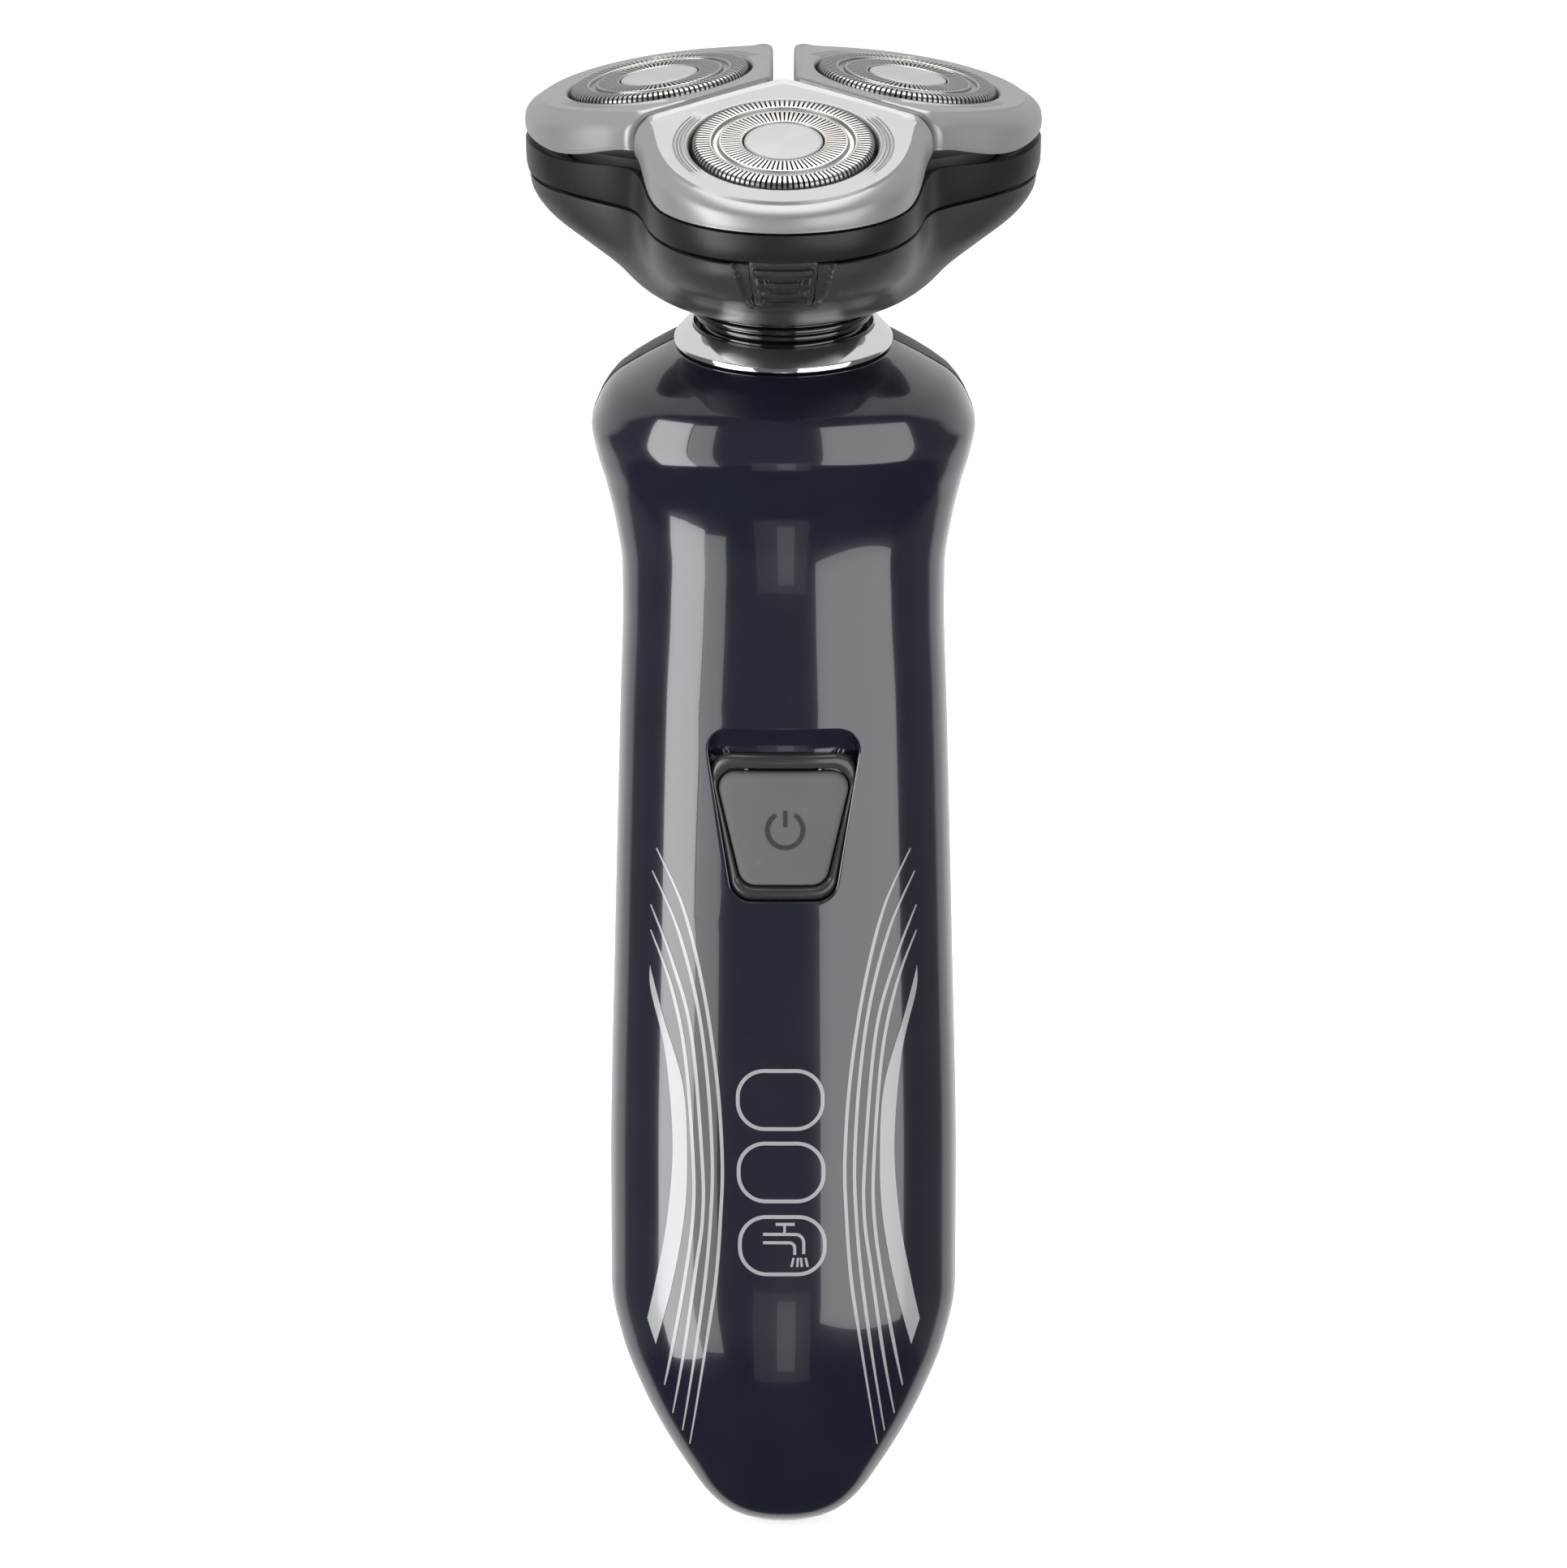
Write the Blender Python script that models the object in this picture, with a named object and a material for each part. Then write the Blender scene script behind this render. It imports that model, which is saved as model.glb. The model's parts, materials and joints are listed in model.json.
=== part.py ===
"""Rotary electric shaver: a slim grip body, a tilting ringed neck and a flip-open head with
three tilting petals, each carrying a floating foil cap over a spinning cutter.

Sizes are in millimetres and become metres when a mesh is made. The world origin is the centre
of the small flat face at the foot of the body, +Z runs up the body and the front faces -Y.
The head frame starts at the foot of the neck collar and leans forward with the neck. Each pod
frame starts at the centre of a foil cap's top face and leans outwards from the head axis.
"""
import math

import bmesh
import bpy
from mathutils import Matrix, Vector

MM = 0.001
GAP = 0.3

# Body
NECK_LEAN = math.radians(13.3)
BEND_START = 103.35
NECK_FOOT = 140.95
BODY_TOP = 140.65
BEND_RADIUS = (NECK_FOOT - BEND_START) / NECK_LEAN
WALL = 1.8
SECTION_POWER = 2.2
PARTING_Y = 0.8
TOE_HEIGHT = 5.0
# distance along the body, half width, depth in front, depth behind
BODY_SECTIONS = (
    (0.0, 3.4, 3.0, 3.0),
    (0.9, 6.1, 5.4, 5.4),
    (3.0, 8.8, 7.8, 8.0),
    (6.5, 11.4, 9.8, 10.3),
    (11.5, 14.5, 12.2, 12.9),
    (16.5, 17.0, 13.9, 14.9),
    (22.0, 19.1, 15.2, 16.5),
    (28.5, 20.35, 16.0, 17.6),
    (43.5, 20.4, 16.5, 18.1),
    (68.5, 19.9, 16.2, 17.6),
    (98.5, 19.15, 15.8, 16.8),
    (109.0, 18.85, 15.7, 16.5),
    (114.0, 18.9, 15.8, 16.3),
    (119.0, 19.6, 16.4, 16.6),
    (124.0, 20.75, 17.4, 16.9),
    (128.0, 21.9, 18.7, 17.5),
    (131.0, 22.4, 19.3, 17.8),
    (134.0, 21.5, 18.8, 17.1),
    (136.4, 20.0, 17.9, 16.4),
    (138.6, 16.8, 15.7, 15.1),
    (BODY_TOP, 13.0, 13.0, 13.0),
)

# Front panel, as heights above the foot and half widths
BUTTON_TOP = 91.2
BUTTON_FOOT = 77.9
BUTTON_HALF_TOP = 7.95
BUTTON_HALF_FOOT = 4.6
BEZEL_RISE = 5.1
BEZEL_FOOT_RIM = 1.9
BEZEL_RIM = 1.35
BUTTON_TRAVEL = 0.5

# Neck, in the head frame
COLLAR_RADIUS = 12.8
COLLAR_HEIGHT = 2.55
PIVOT_HEIGHT = 4.1
TUBE_RADIUS = 5.0
TUBE_BORE = 3.4
HUB_RADIUS = 7.0
HUB_BORE = 5.6
# foot, top and outer radius of each ring
NECK_RINGS = ((1.3, 2.65, 9.6), (2.98, 3.7, 10.25), (4.02, 4.75, 11.0), (5.06, 5.8, 11.4))

# Head, in the head frame
POD_RADIUS = 16.7
POD_HEIGHT = 29.5
POD_LEAN = math.radians(10.0)
POD_ANGLES = (0.0, math.radians(120.0), math.radians(240.0))
HEAD_HALF_WIDTH = 30.0
SEAM_HEIGHT = 18.3
SEAM_SLOPE = -0.032
EDGE_SLOPE = -0.02
SHELL = 1.4
FLOOR = 1.2
# height, half width, share of the trefoil shape
BASE_SECTIONS = (
    (6.3, 13.4, 0.0),
    (6.8, 15.2, 0.03),
    (8.2, 17.8, 0.12),
    (10.0, 20.4, 0.32),
    (12.0, 24.0, 0.62),
    (14.2, 27.4, 0.86),
    (16.4, 29.1, 0.97),
    (SEAM_HEIGHT, 29.5, 1.0),
)
RIM_TOP = 22.35
RIM_RISE = 1.15
PLATE_FOOT = 19.4
PLATE_TOP = 21.4
PETAL_FOOT = 22.7
PETAL_RISE = 3.0
# share of the height from the petal's foot to its top plane, inset of the outline
PETAL_SECTIONS = ((0.0, 0.3), (0.1, 0.0), (0.42, 0.0), (0.75, 0.7), (1.0, 2.8))
PETAL_SINK = 0.5
SEAM_GAP = 0.7
SKIRT_RADIUS = 11.9
SKIRT_FOOT = 20.0
POD_BORE = 10.8
RIM_BORE = 12.6
TILT_DEPTH = 8.6
CAP_RADIUS = 10.45
DISC_RADIUS = 4.5
HINGE_Y = 24.4
HINGE_Z = 18.4

# Drive, in the head frame
SPINDLE_RADIUS = 15.5
CENTRE_TEETH = 12
DRIVE_TEETH = 16
GEAR_FOOT = 15.0
GEAR_TOP = 16.7
COVER_FOOT = 17.05
COVER_TOP = 17.9

# Release button, in the head frame
RELEASE_HALF_TOP = 4.2
RELEASE_HALF_FOOT = 3.1
RELEASE_FOOT = 12.5
RELEASE_TOP = 19.25
RELEASE_DEPTH = 1.6

WORLD = Matrix.Identity(4)


# ---------------------------------------------------------------- frames

def shift(x, y, z):
    """Move by millimetres, as a matrix in metres."""
    return Matrix.Translation(Vector((x, y, z)) * MM)


def turn(angle, axis):
    """Turn about X, Y or Z."""
    return Matrix.Rotation(angle, 4, axis)


def spine(along):
    """Centre and forward lean of the body at a distance along it."""
    if along <= BEND_START:
        return Vector((0.0, 0.0, along)), 0.0
    lean = (along - BEND_START) / BEND_RADIUS
    back = -BEND_RADIUS * (1.0 - math.cos(lean))
    up = BEND_START + BEND_RADIUS * math.sin(lean)
    return Vector((0.0, back, up)), lean


def head_frame():
    """Frame at the foot of the neck collar."""
    centre, lean = spine(NECK_FOOT)
    return shift(*centre) @ turn(lean, "X")


def pod_frame(angle):
    """Frame at the top centre of the foil cap that stands at this angle from the front."""
    return HEAD @ turn(angle, "Z") @ shift(0.0, -POD_RADIUS, POD_HEIGHT) @ turn(POD_LEAN, "X")


def gear_frame(angle):
    """Frame on a drive spindle's axis, level with the head frame."""
    return HEAD @ turn(angle, "Z") @ shift(0.0, -SPINDLE_RADIUS, 0.0)


HEAD = head_frame()


# ---------------------------------------------------------------- shaping tools

def solid(points, faces):
    """Closed mesh object from points in millimetres, with its faces turned outwards."""
    shape = bmesh.new()
    corners = [shape.verts.new(Vector(point) * MM) for point in points]
    for face in faces:
        shape.faces.new([corners[index] for index in face])
    bmesh.ops.recalc_face_normals(shape, faces=shape.faces)
    mesh = bpy.data.meshes.new("solid")
    shape.to_mesh(mesh)
    shape.free()
    body = bpy.data.objects.new("solid", mesh)
    bpy.context.scene.collection.objects.link(body)
    return body


def loft(rings):
    """Closed solid through rings that have equal numbers of points."""
    count = len(rings[0])
    points = [point for ring in rings for point in ring]
    faces = []
    for level in range(len(rings) - 1):
        for index in range(count):
            following = (index + 1) % count
            low = level * count
            high = low + count
            faces.append((low + index, low + following, high + following, high + index))
    faces.append(tuple(range(count)))
    faces.append(tuple(range(len(points) - count, len(points))))
    return solid(points, faces)


def circle(radius, steps, height=0.0, phase=0.0):
    """Points of a level circle."""
    angles = [phase + 2.0 * math.pi * step / steps for step in range(steps)]
    return [(radius * math.cos(angle), radius * math.sin(angle), height) for angle in angles]


def turned(profile, steps):
    """Solid of revolution about Z whose profile runs from one end face to the other."""
    return loft([circle(radius, steps, height) for radius, height in profile])


def turned_ring(profile, steps):
    """Solid of revolution about Z whose closed profile stays clear of the axis."""
    count = len(profile)
    points = []
    for radius, height in profile:
        points.extend(circle(radius, steps, height))
    faces = []
    for level in range(count):
        above = (level + 1) % count
        for index in range(steps):
            following = (index + 1) % steps
            faces.append((level * steps + index, level * steps + following,
                          above * steps + following, above * steps + index))
    return solid(points, faces)


def tube(outer, inner, low, high, steps):
    """Plain tube standing on Z."""
    return turned_ring([(outer, low), (outer, high), (inner, high), (inner, low)], steps)


def prism(outline, low, high, across="Z"):
    """Outline extruded along Z, or along Y when its points are (x, z)."""
    if across == "Z":
        return loft([[(a, b, level) for a, b in outline] for level in (low, high)])
    return loft([[(a, level, b) for a, b in outline] for level in (low, high)])


def box(low, high):
    """Box between two corners."""
    outline = [(low[0], low[1]), (high[0], low[1]), (high[0], high[1]), (low[0], high[1])]
    return prism(outline, low[2], high[2])


def rod(radius, low, high, steps, axis="Z"):
    """Cylinder along an axis through the origin."""
    piece = turned([(radius, low), (radius, high)], steps)
    turns = {"Z": WORLD, "X": turn(math.pi / 2.0, "Y"), "Y": turn(-math.pi / 2.0, "X")}
    return moved(piece, turns[axis])


def moved(piece, matrix):
    """Move the mesh itself."""
    piece.data.transform(matrix)
    return piece


def combine(piece, tool, operation):
    """Apply a Boolean with another piece, then remove that piece."""
    modifier = piece.modifiers.new("combine", "BOOLEAN")
    modifier.operation = operation
    modifier.solver = "EXACT"
    modifier.object = tool
    depsgraph = bpy.context.evaluated_depsgraph_get()
    result = bpy.data.meshes.new_from_object(piece.evaluated_get(depsgraph))
    piece.modifiers.clear()
    piece.data = result
    bpy.data.objects.remove(tool)
    return piece


def cut(piece, tool):
    """Take a tool away from a piece."""
    return combine(piece, tool, "DIFFERENCE")


def join(piece, tool):
    """Weld a tool to a piece."""
    return combine(piece, tool, "UNION")


def keep(piece, tool):
    """Keep what a piece shares with a tool."""
    return combine(piece, tool, "INTERSECT")


def rounded_outline(corners, radius, steps=4):
    """Polygon with each corner replaced by an arc, run anticlockwise."""
    outline = []
    count = len(corners)
    for index, corner in enumerate(corners):
        here = Vector(corner)
        before = (Vector(corners[index - 1]) - here).normalized()
        after = (Vector(corners[(index + 1) % count]) - here).normalized()
        half = before.angle(after) / 2.0
        centre = here + (before + after).normalized() * (radius / math.sin(half))
        start = here + before * (radius / math.tan(half)) - centre
        sweep = math.pi - 2.0 * half
        for step in range(steps + 1):
            angle = sweep * step / steps
            turned_start = Vector((start.x * math.cos(angle) - start.y * math.sin(angle),
                                   start.x * math.sin(angle) + start.y * math.cos(angle)))
            outline.append(tuple(centre + turned_start))
    return outline


def trapezoid(half_top, half_foot, foot, top, radius):
    """Rounded trapezoid as (x, z) points."""
    corners = [(-half_foot, foot), (half_foot, foot), (half_top, top), (-half_top, top)]
    return rounded_outline(corners, radius)


def spring(radius, wire, low, high, turns, steps=10, sides=4):
    """Coil of round wire about Z."""
    rings = []
    for index in range(turns * steps + 1):
        angle = 2.0 * math.pi * index / steps
        height = low + wire + (high - low - 2.0 * wire) * index / (turns * steps)
        ring = []
        for side in range(sides):
            around = 2.0 * math.pi * side / sides
            reach = radius + wire * math.cos(around)
            ring.append((reach * math.cos(angle), reach * math.sin(angle),
                         height + wire * math.sin(around)))
        rings.append(ring)
    return loft(rings)


def gear(teeth, pitch_radius, low, high, phase):
    """Spur gear with one tooth centred on the phase angle."""
    module = 2.0 * pitch_radius / teeth
    pitch = 2.0 * math.pi / teeth
    flanks = ((-0.29, -1.0), (-0.12, 0.8), (0.12, 0.8), (0.29, -1.0))
    outline = []
    for tooth in range(teeth):
        for share, height in flanks:
            angle = phase + (tooth + share) * pitch
            radius = pitch_radius + height * module
            outline.append((radius * math.cos(angle), radius * math.sin(angle)))
    return prism(outline, low, high)


# ---------------------------------------------------------------- materials and placing

def finish_material(name, colour, roughness, metallic=0.0):
    """Principled material for one piece."""
    material = bpy.data.materials.new(name)
    material.use_nodes = True
    shader = material.node_tree.nodes["Principled BSDF"]
    shader.inputs["Base Color"].default_value = (*colour, 1.0)
    shader.inputs["Roughness"].default_value = roughness
    shader.inputs["Metallic"].default_value = metallic
    return material


FINISHES = {
    "navy_gloss": ((0.012, 0.013, 0.03), 0.12, 0.0),
    "black_satin": ((0.02, 0.02, 0.022), 0.4, 0.0),
    "black_gloss": ((0.006, 0.006, 0.007), 0.08, 0.0),
    "black_rubber": ((0.015, 0.015, 0.016), 0.75, 0.0),
    "charcoal": ((0.06, 0.06, 0.065), 0.45, 0.0),
    "silver_satin": ((0.45, 0.46, 0.48), 0.35, 0.6),
    "grey_soft": ((0.16, 0.17, 0.16), 0.6, 0.0),
    "chrome": ((0.85, 0.86, 0.88), 0.08, 1.0),
    "steel": ((0.6, 0.61, 0.63), 0.25, 1.0),
    "white_satin": ((0.8, 0.8, 0.8), 0.35, 0.1),
    "white_plastic": ((0.75, 0.75, 0.72), 0.5, 0.0),
    "cell_wrap": ((0.05, 0.18, 0.35), 0.45, 0.0),
    "board_green": ((0.02, 0.14, 0.06), 0.5, 0.0),
    "clear_guide": ((0.75, 0.8, 0.85), 0.2, 0.0),
    "brass": ((0.72, 0.55, 0.25), 0.3, 1.0),
}


def pivot(name, frame):
    """Empty that stands on a joint's axis."""
    empty = bpy.data.objects.new(name, None)
    empty.empty_display_size = 5.0 * MM
    empty.matrix_world = frame
    bpy.context.scene.collection.objects.link(empty)
    return empty


def place(piece, name, finish, frame, parent=None):
    """Name a piece, put its origin at a frame and give it its own material.

    The piece's mesh must already be in world coordinates.
    """
    piece.name = name
    piece.data.name = name
    piece.data.transform(frame.inverted())
    if parent:
        piece.parent = parent
        piece.matrix_basis = parent.matrix_basis.inverted() @ frame
    else:
        piece.matrix_basis = frame
    piece.data.materials.clear()
    piece.data.materials.append(finish_material(name, *FINISHES[finish]))
    piece.data.shade_smooth()
    piece.data.set_sharp_from_angle(angle=math.radians(35.0))
    return piece


# ---------------------------------------------------------------- body

def slope_at(column, row):
    """Slope of one column of the section table, flattened at its turning points."""
    def secant(index):
        rise = BODY_SECTIONS[index + 1][column] - BODY_SECTIONS[index][column]
        return rise / (BODY_SECTIONS[index + 1][0] - BODY_SECTIONS[index][0])
    if row == 0:
        return secant(0)
    if row == len(BODY_SECTIONS) - 1:
        return secant(row - 1)
    before = secant(row - 1)
    after = secant(row)
    if before * after <= 0.0:
        return 0.0
    return 2.0 * before * after / (before + after)


def section_size(along):
    """Half width, front depth and back depth of the body at a distance along it."""
    row = 0
    while row < len(BODY_SECTIONS) - 2 and along > BODY_SECTIONS[row + 1][0]:
        row += 1
    start = BODY_SECTIONS[row]
    end = BODY_SECTIONS[row + 1]
    span = end[0] - start[0]
    t = (along - start[0]) / span
    sizes = []
    for column in (1, 2, 3):
        sizes.append((2.0 * t ** 3 - 3.0 * t ** 2 + 1.0) * start[column]
                     + (t ** 3 - 2.0 * t ** 2 + t) * span * slope_at(column, row)
                     + (3.0 * t ** 2 - 2.0 * t ** 3) * end[column]
                     + (t ** 3 - t ** 2) * span * slope_at(column, row + 1))
    return sizes


def body_ring(along, offset, steps):
    """One cross-section of the body, grown by an offset."""
    half_width, front, back = [size + offset for size in section_size(along)]
    centre, lean = spine(along)
    power = 2.0 / SECTION_POWER
    ring = []
    for index in range(steps):
        angle = 2.0 * math.pi * index / steps
        across = math.copysign(abs(math.cos(angle)) ** power, math.cos(angle))
        deep = math.copysign(abs(math.sin(angle)) ** power, math.sin(angle))
        y = deep * (back if deep > 0.0 else front)
        ring.append((half_width * across, centre.y + y * math.cos(lean),
                     centre.z + y * math.sin(lean)))
    return ring


def body_form(offset, stations, steps):
    """Solid that follows the body's surface at an offset."""
    return loft([body_ring(along, offset, steps) for along in stations])


def outer_stations():
    """The table's stations with one more in each long stretch."""
    stations = []
    for before, after in zip(BODY_SECTIONS, BODY_SECTIONS[1:]):
        stations.append(before[0])
        if 10.0 < after[0] - before[0] < 20.0:
            stations.append((before[0] + after[0]) / 2.0)
    stations.append(BODY_TOP)
    return stations


def cavity():
    """Room inside the body's walls."""
    stations = (9.4, 13.5, 18.0, 23.0, 29.0, 50.0, 98.0, 110.0, 118.0, 123.0, 128.4, 132.9,
                136.3)
    return body_form(-WALL, stations, 20)


def rear_half(inset):
    """Everything behind the parting surface and above the toe."""
    stations = (TOE_HEIGHT + inset, 33.0, BEND_START, 116.0, 127.3, 137.1, 150.0)
    half = 40.0
    rings = []
    for along in stations:
        centre, lean = spine(along)
        ring = []
        for x, y in ((-half, PARTING_Y + inset), (half, PARTING_Y + inset), (half, half),
                     (-half, half)):
            ring.append((x, centre.y + y * math.cos(lean), centre.z + y * math.sin(lean)))
        rings.append(ring)
    return loft(rings)


def neck_bore():
    """Hole through the top of the body for the neck tube."""
    return moved(rod(TUBE_RADIUS + 0.8, -12.0, 4.0, 20), HEAD)


def bezel_outline(grow):
    """Outline of the button's frame, grown by an amount."""
    return trapezoid(BUTTON_HALF_TOP + BEZEL_RIM + grow, BUTTON_HALF_FOOT + BEZEL_RIM + grow,
                     BUTTON_FOOT - BEZEL_FOOT_RIM - grow, BUTTON_TOP + BEZEL_RISE + grow,
                     2.2 + grow)


def button_outline(grow):
    """Outline of the button's pad, grown by an amount."""
    return trapezoid(BUTTON_HALF_TOP + grow, BUTTON_HALF_FOOT + grow, BUTTON_FOOT - grow,
                     BUTTON_TOP + grow, 2.0 + grow)


SCREW_PLACES = ((-10.3, 26.0), (10.3, 26.0), (-10.3, 101.0), (10.3, 101.0))


def front_cover():
    """Glossy front shell with the solid toe and the screw bosses."""
    shell = cut(body_form(0.0, outer_stations(), 28), cavity())
    cut(shell, rear_half(-GAP / 2.0))
    cut(shell, prism(bezel_outline(0.0), -24.0, -6.0, "Y"))
    cut(shell, neck_bore())
    for x, z in SCREW_PLACES:
        boss = prism([(x + a, z + b) for a, b, c in circle(2.1, 10)], -11.9, -7.7, "Y")
        cut(boss, prism([(x + a, z + b) for a, b, c in circle(1.0, 8)], -10.9, -7.0, "Y"))
        join(shell, boss)
    return shell


def inlet_frame():
    """Frame of the charging inlet, whose +Z points out of its mouth."""
    return shift(0.0, 11.6, 9.6) @ turn(-math.radians(118.0), "X")


def stadium(half_length, half_width, steps=6):
    """Slot outline along X."""
    reach = half_length - half_width
    outline = []
    for side, start in ((1.0, -math.pi / 2.0), (-1.0, math.pi / 2.0)):
        for step in range(steps + 1):
            angle = start + math.pi * step / steps
            outline.append((side * reach + half_width * math.cos(angle),
                            half_width * math.sin(angle)))
    return outline


def grip_outline(grow):
    """Outline of the rear grip."""
    half = 10.5 + grow
    corners = [(-half, 34.0 - grow), (half, 34.0 - grow), (half, 101.0 + grow),
               (-half, 101.0 + grow)]
    return rounded_outline(corners, 6.0 + grow, 5)


def rear_housing():
    """Rear shell with the grip's pocket and the inlet's hole."""
    shell = cut(body_form(0.0, outer_stations(), 28), cavity())
    keep(shell, rear_half(GAP / 2.0))
    cut(shell, neck_bore())
    pocket = prism(grip_outline(GAP), 5.0, 30.0, "Y")
    cut(pocket, body_form(-0.9, (28.0, 45.0, 72.0, 100.0, 108.0), 32))
    cut(shell, pocket)
    cut(shell, moved(prism(stadium(5.1, 3.1), -10.0, 8.0), inlet_frame()))
    return shell


def rear_grip():
    """Rubber pad let into the rear housing."""
    stations = (28.0, 36.0, 45.0, 58.0, 70.0, 85.0, 100.0, 108.0)
    pad = prism(grip_outline(0.0), 5.0, 30.0, "Y")
    keep(pad, body_form(0.25, stations, 36))
    cut(pad, body_form(-0.6, (28.0, 45.0, 72.0, 100.0, 108.0), 32))
    return pad


def button_bezel():
    """Sunken frame around the power button."""
    frame = prism(bezel_outline(-GAP), -24.0, -11.6, "Y")
    keep(frame, body_form(-0.7, (66.0, 72.0, 80.0, 90.0, 98.0, 104.0), 40))
    cut(frame, prism(button_outline(GAP), -26.0, -10.0, "Y"))
    return frame


def power_button():
    """Pad with the stem that reaches for the switch."""
    pad = prism(button_outline(0.0), -24.0, -12.9, "Y")
    keep(pad, body_form(-0.45, (66.0, 72.0, 80.0, 90.0, 98.0, 104.0), 40))
    stem = prism([(a, 84.4 + b) for a, b, c in circle(1.8, 10)], -13.4, -12.4, "Y")
    return join(pad, stem)


def charging_inlet():
    """Oval socket block with a recess for the lead's plug."""
    block = prism(stadium(4.75, 2.8), -7.6, 0.2)
    return cut(block, prism(stadium(3.9, 2.0), -5.6, 2.0))


def chassis_frame():
    """Tray that carries the battery cell behind the circuit board."""
    tray = box((-12.9, -7.4, 20.5), (12.9, -6.2, 104.0))
    for side in (-1.0, 1.0):
        low = min(side * 8.0, side * 9.3)
        join(tray, box((low, -6.8, 29.0), (low + 1.3, 4.5, 66.0)))
    for foot in (18.6, 71.6):
        join(tray, box((-6.0, -7.0, foot), (6.0, 4.5, foot + 2.2)))
    for x, z in SCREW_PLACES:
        cut(tray, prism([(x + a, z + b) for a, b, c in circle(1.05, 8)], -9.0, -5.0, "Y"))
    return tray


def chassis_screw():
    """Pan-head screw along Y, head behind."""
    profile = ((0.7, -10.4), (0.7, -5.9), (1.8, -5.9), (1.8, -5.1), (1.3, -4.7))
    return moved(turned(profile, 10), turn(-math.pi / 2.0, "X"))


def drive_motor():
    """Can motor with a boss and closed ends, in the head frame."""
    profile = ((4.0, -36.6), (4.0, -35.4), (8.6, -35.4), (9.2, -34.8), (9.2, -11.6),
               (8.6, -11.0), (3.2, -11.0), (3.2, -10.0))
    return turned(profile, 20)


def light_guide():
    """Clear bar behind the three indicator windows."""
    bar = box((-4.6, -13.8, 31.5), (4.6, -12.6, 55.5))
    for height in (34.8, 43.5, 52.2):
        join(bar, box((-1.6, -12.8, height - 1.6), (1.6, -10.6, height + 1.6)))
    return bar


def build_body():
    """Everything that is fixed inside and around the grip, and the power button."""
    place(front_cover(), "front_cover", "navy_gloss", WORLD)
    place(rear_housing(), "rear_housing", "black_satin", WORLD)
    place(rear_grip(), "rear_grip", "black_rubber", WORLD)
    place(button_bezel(), "button_bezel", "charcoal", WORLD)
    press = shift(0.0, -16.0, 84.4)
    place(power_button(), "power_button", "grey_soft", press, pivot("button_axis", press))
    place(box((-7.8, -9.7, 28.8), (7.8, -8.5, 97.4)), "circuit_board", "board_green", WORLD)
    place(box((-3.0, -11.6, 81.2), (3.0, -10.0, 87.2)), "power_switch", "black_satin", WORLD)
    cell = moved(turned(((6.4, 21.2), (7.0, 21.8), (7.0, 69.4), (6.4, 70.0), (2.6, 70.0),
                         (2.6, 71.2)), 18), shift(0.0, 1.4, 0.0))
    place(cell, "battery_cell", "cell_wrap", shift(0.0, 1.4, 0.0))
    place(chassis_frame(), "chassis_frame", "black_satin", WORLD)
    for number, (x, z) in enumerate(SCREW_PLACES, 1):
        spot = shift(x, 0.0, z)
        place(moved(chassis_screw(), spot), f"chassis_screw_{number}", "steel", spot)
    place(light_guide(), "light_guide", "clear_guide", WORLD)
    inlet = inlet_frame()
    place(moved(charging_inlet(), inlet), "charging_inlet", "black_satin", inlet)
    for number, x in enumerate((-1.9, 1.9), 1):
        pin_frame = inlet @ shift(x, 0.0, 0.0)
        pin = turned(((0.6, -5.3), (0.6, -1.4), (0.35, -1.1)), 10)
        place(moved(pin, pin_frame), f"inlet_pin_{number}", "brass", pin_frame)
    place(moved(drive_motor(), HEAD), "drive_motor", "steel", HEAD)


# ---------------------------------------------------------------- neck

def neck_collar():
    """Chrome cone around the foot of the neck, grooved for its seal."""
    profile = [(12.1, 0.0), (COLLAR_RADIUS, 0.0), (COLLAR_RADIUS - 0.1, 0.6), (10.9, COLLAR_HEIGHT),
               (10.45, COLLAR_HEIGHT), (10.35, 0.0), (10.7, 0.0), (10.7, 0.95), (12.1, 0.95)]
    return turned_ring(profile, 26)


def collar_seal():
    """Rubber ring in the collar's groove."""
    profile = [(11.4 + 0.33 * math.cos(math.radians(60.0 * step)),
                0.3 + 0.33 * math.sin(math.radians(60.0 * step))) for step in range(6)]
    return turned_ring(profile, 24)


def neck_tube():
    """Fixed tube that carries the head's tilt pivot, flanged inside the body."""
    profile = [(8.6, -8.4), (8.6, -7.0), (TUBE_RADIUS, -7.0), (TUBE_RADIUS, 5.4),
               (TUBE_BORE, 5.4), (TUBE_BORE, -8.4)]
    piece = turned_ring(profile, 20)
    return cut(piece, moved(rod(1.15, -10.0, 10.0, 8, "X"), shift(0.0, 0.0, PIVOT_HEIGHT)))


def neck_ring(foot, top, radius):
    """One gloss ring of the neck."""
    middle = (foot + top) / 2.0
    profile = [(radius - 0.45, foot), (radius, middle), (radius - 0.45, top),
               (HUB_RADIUS + 0.6, top), (HUB_RADIUS + 0.6, foot)]
    return turned_ring(profile, 24)


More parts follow.
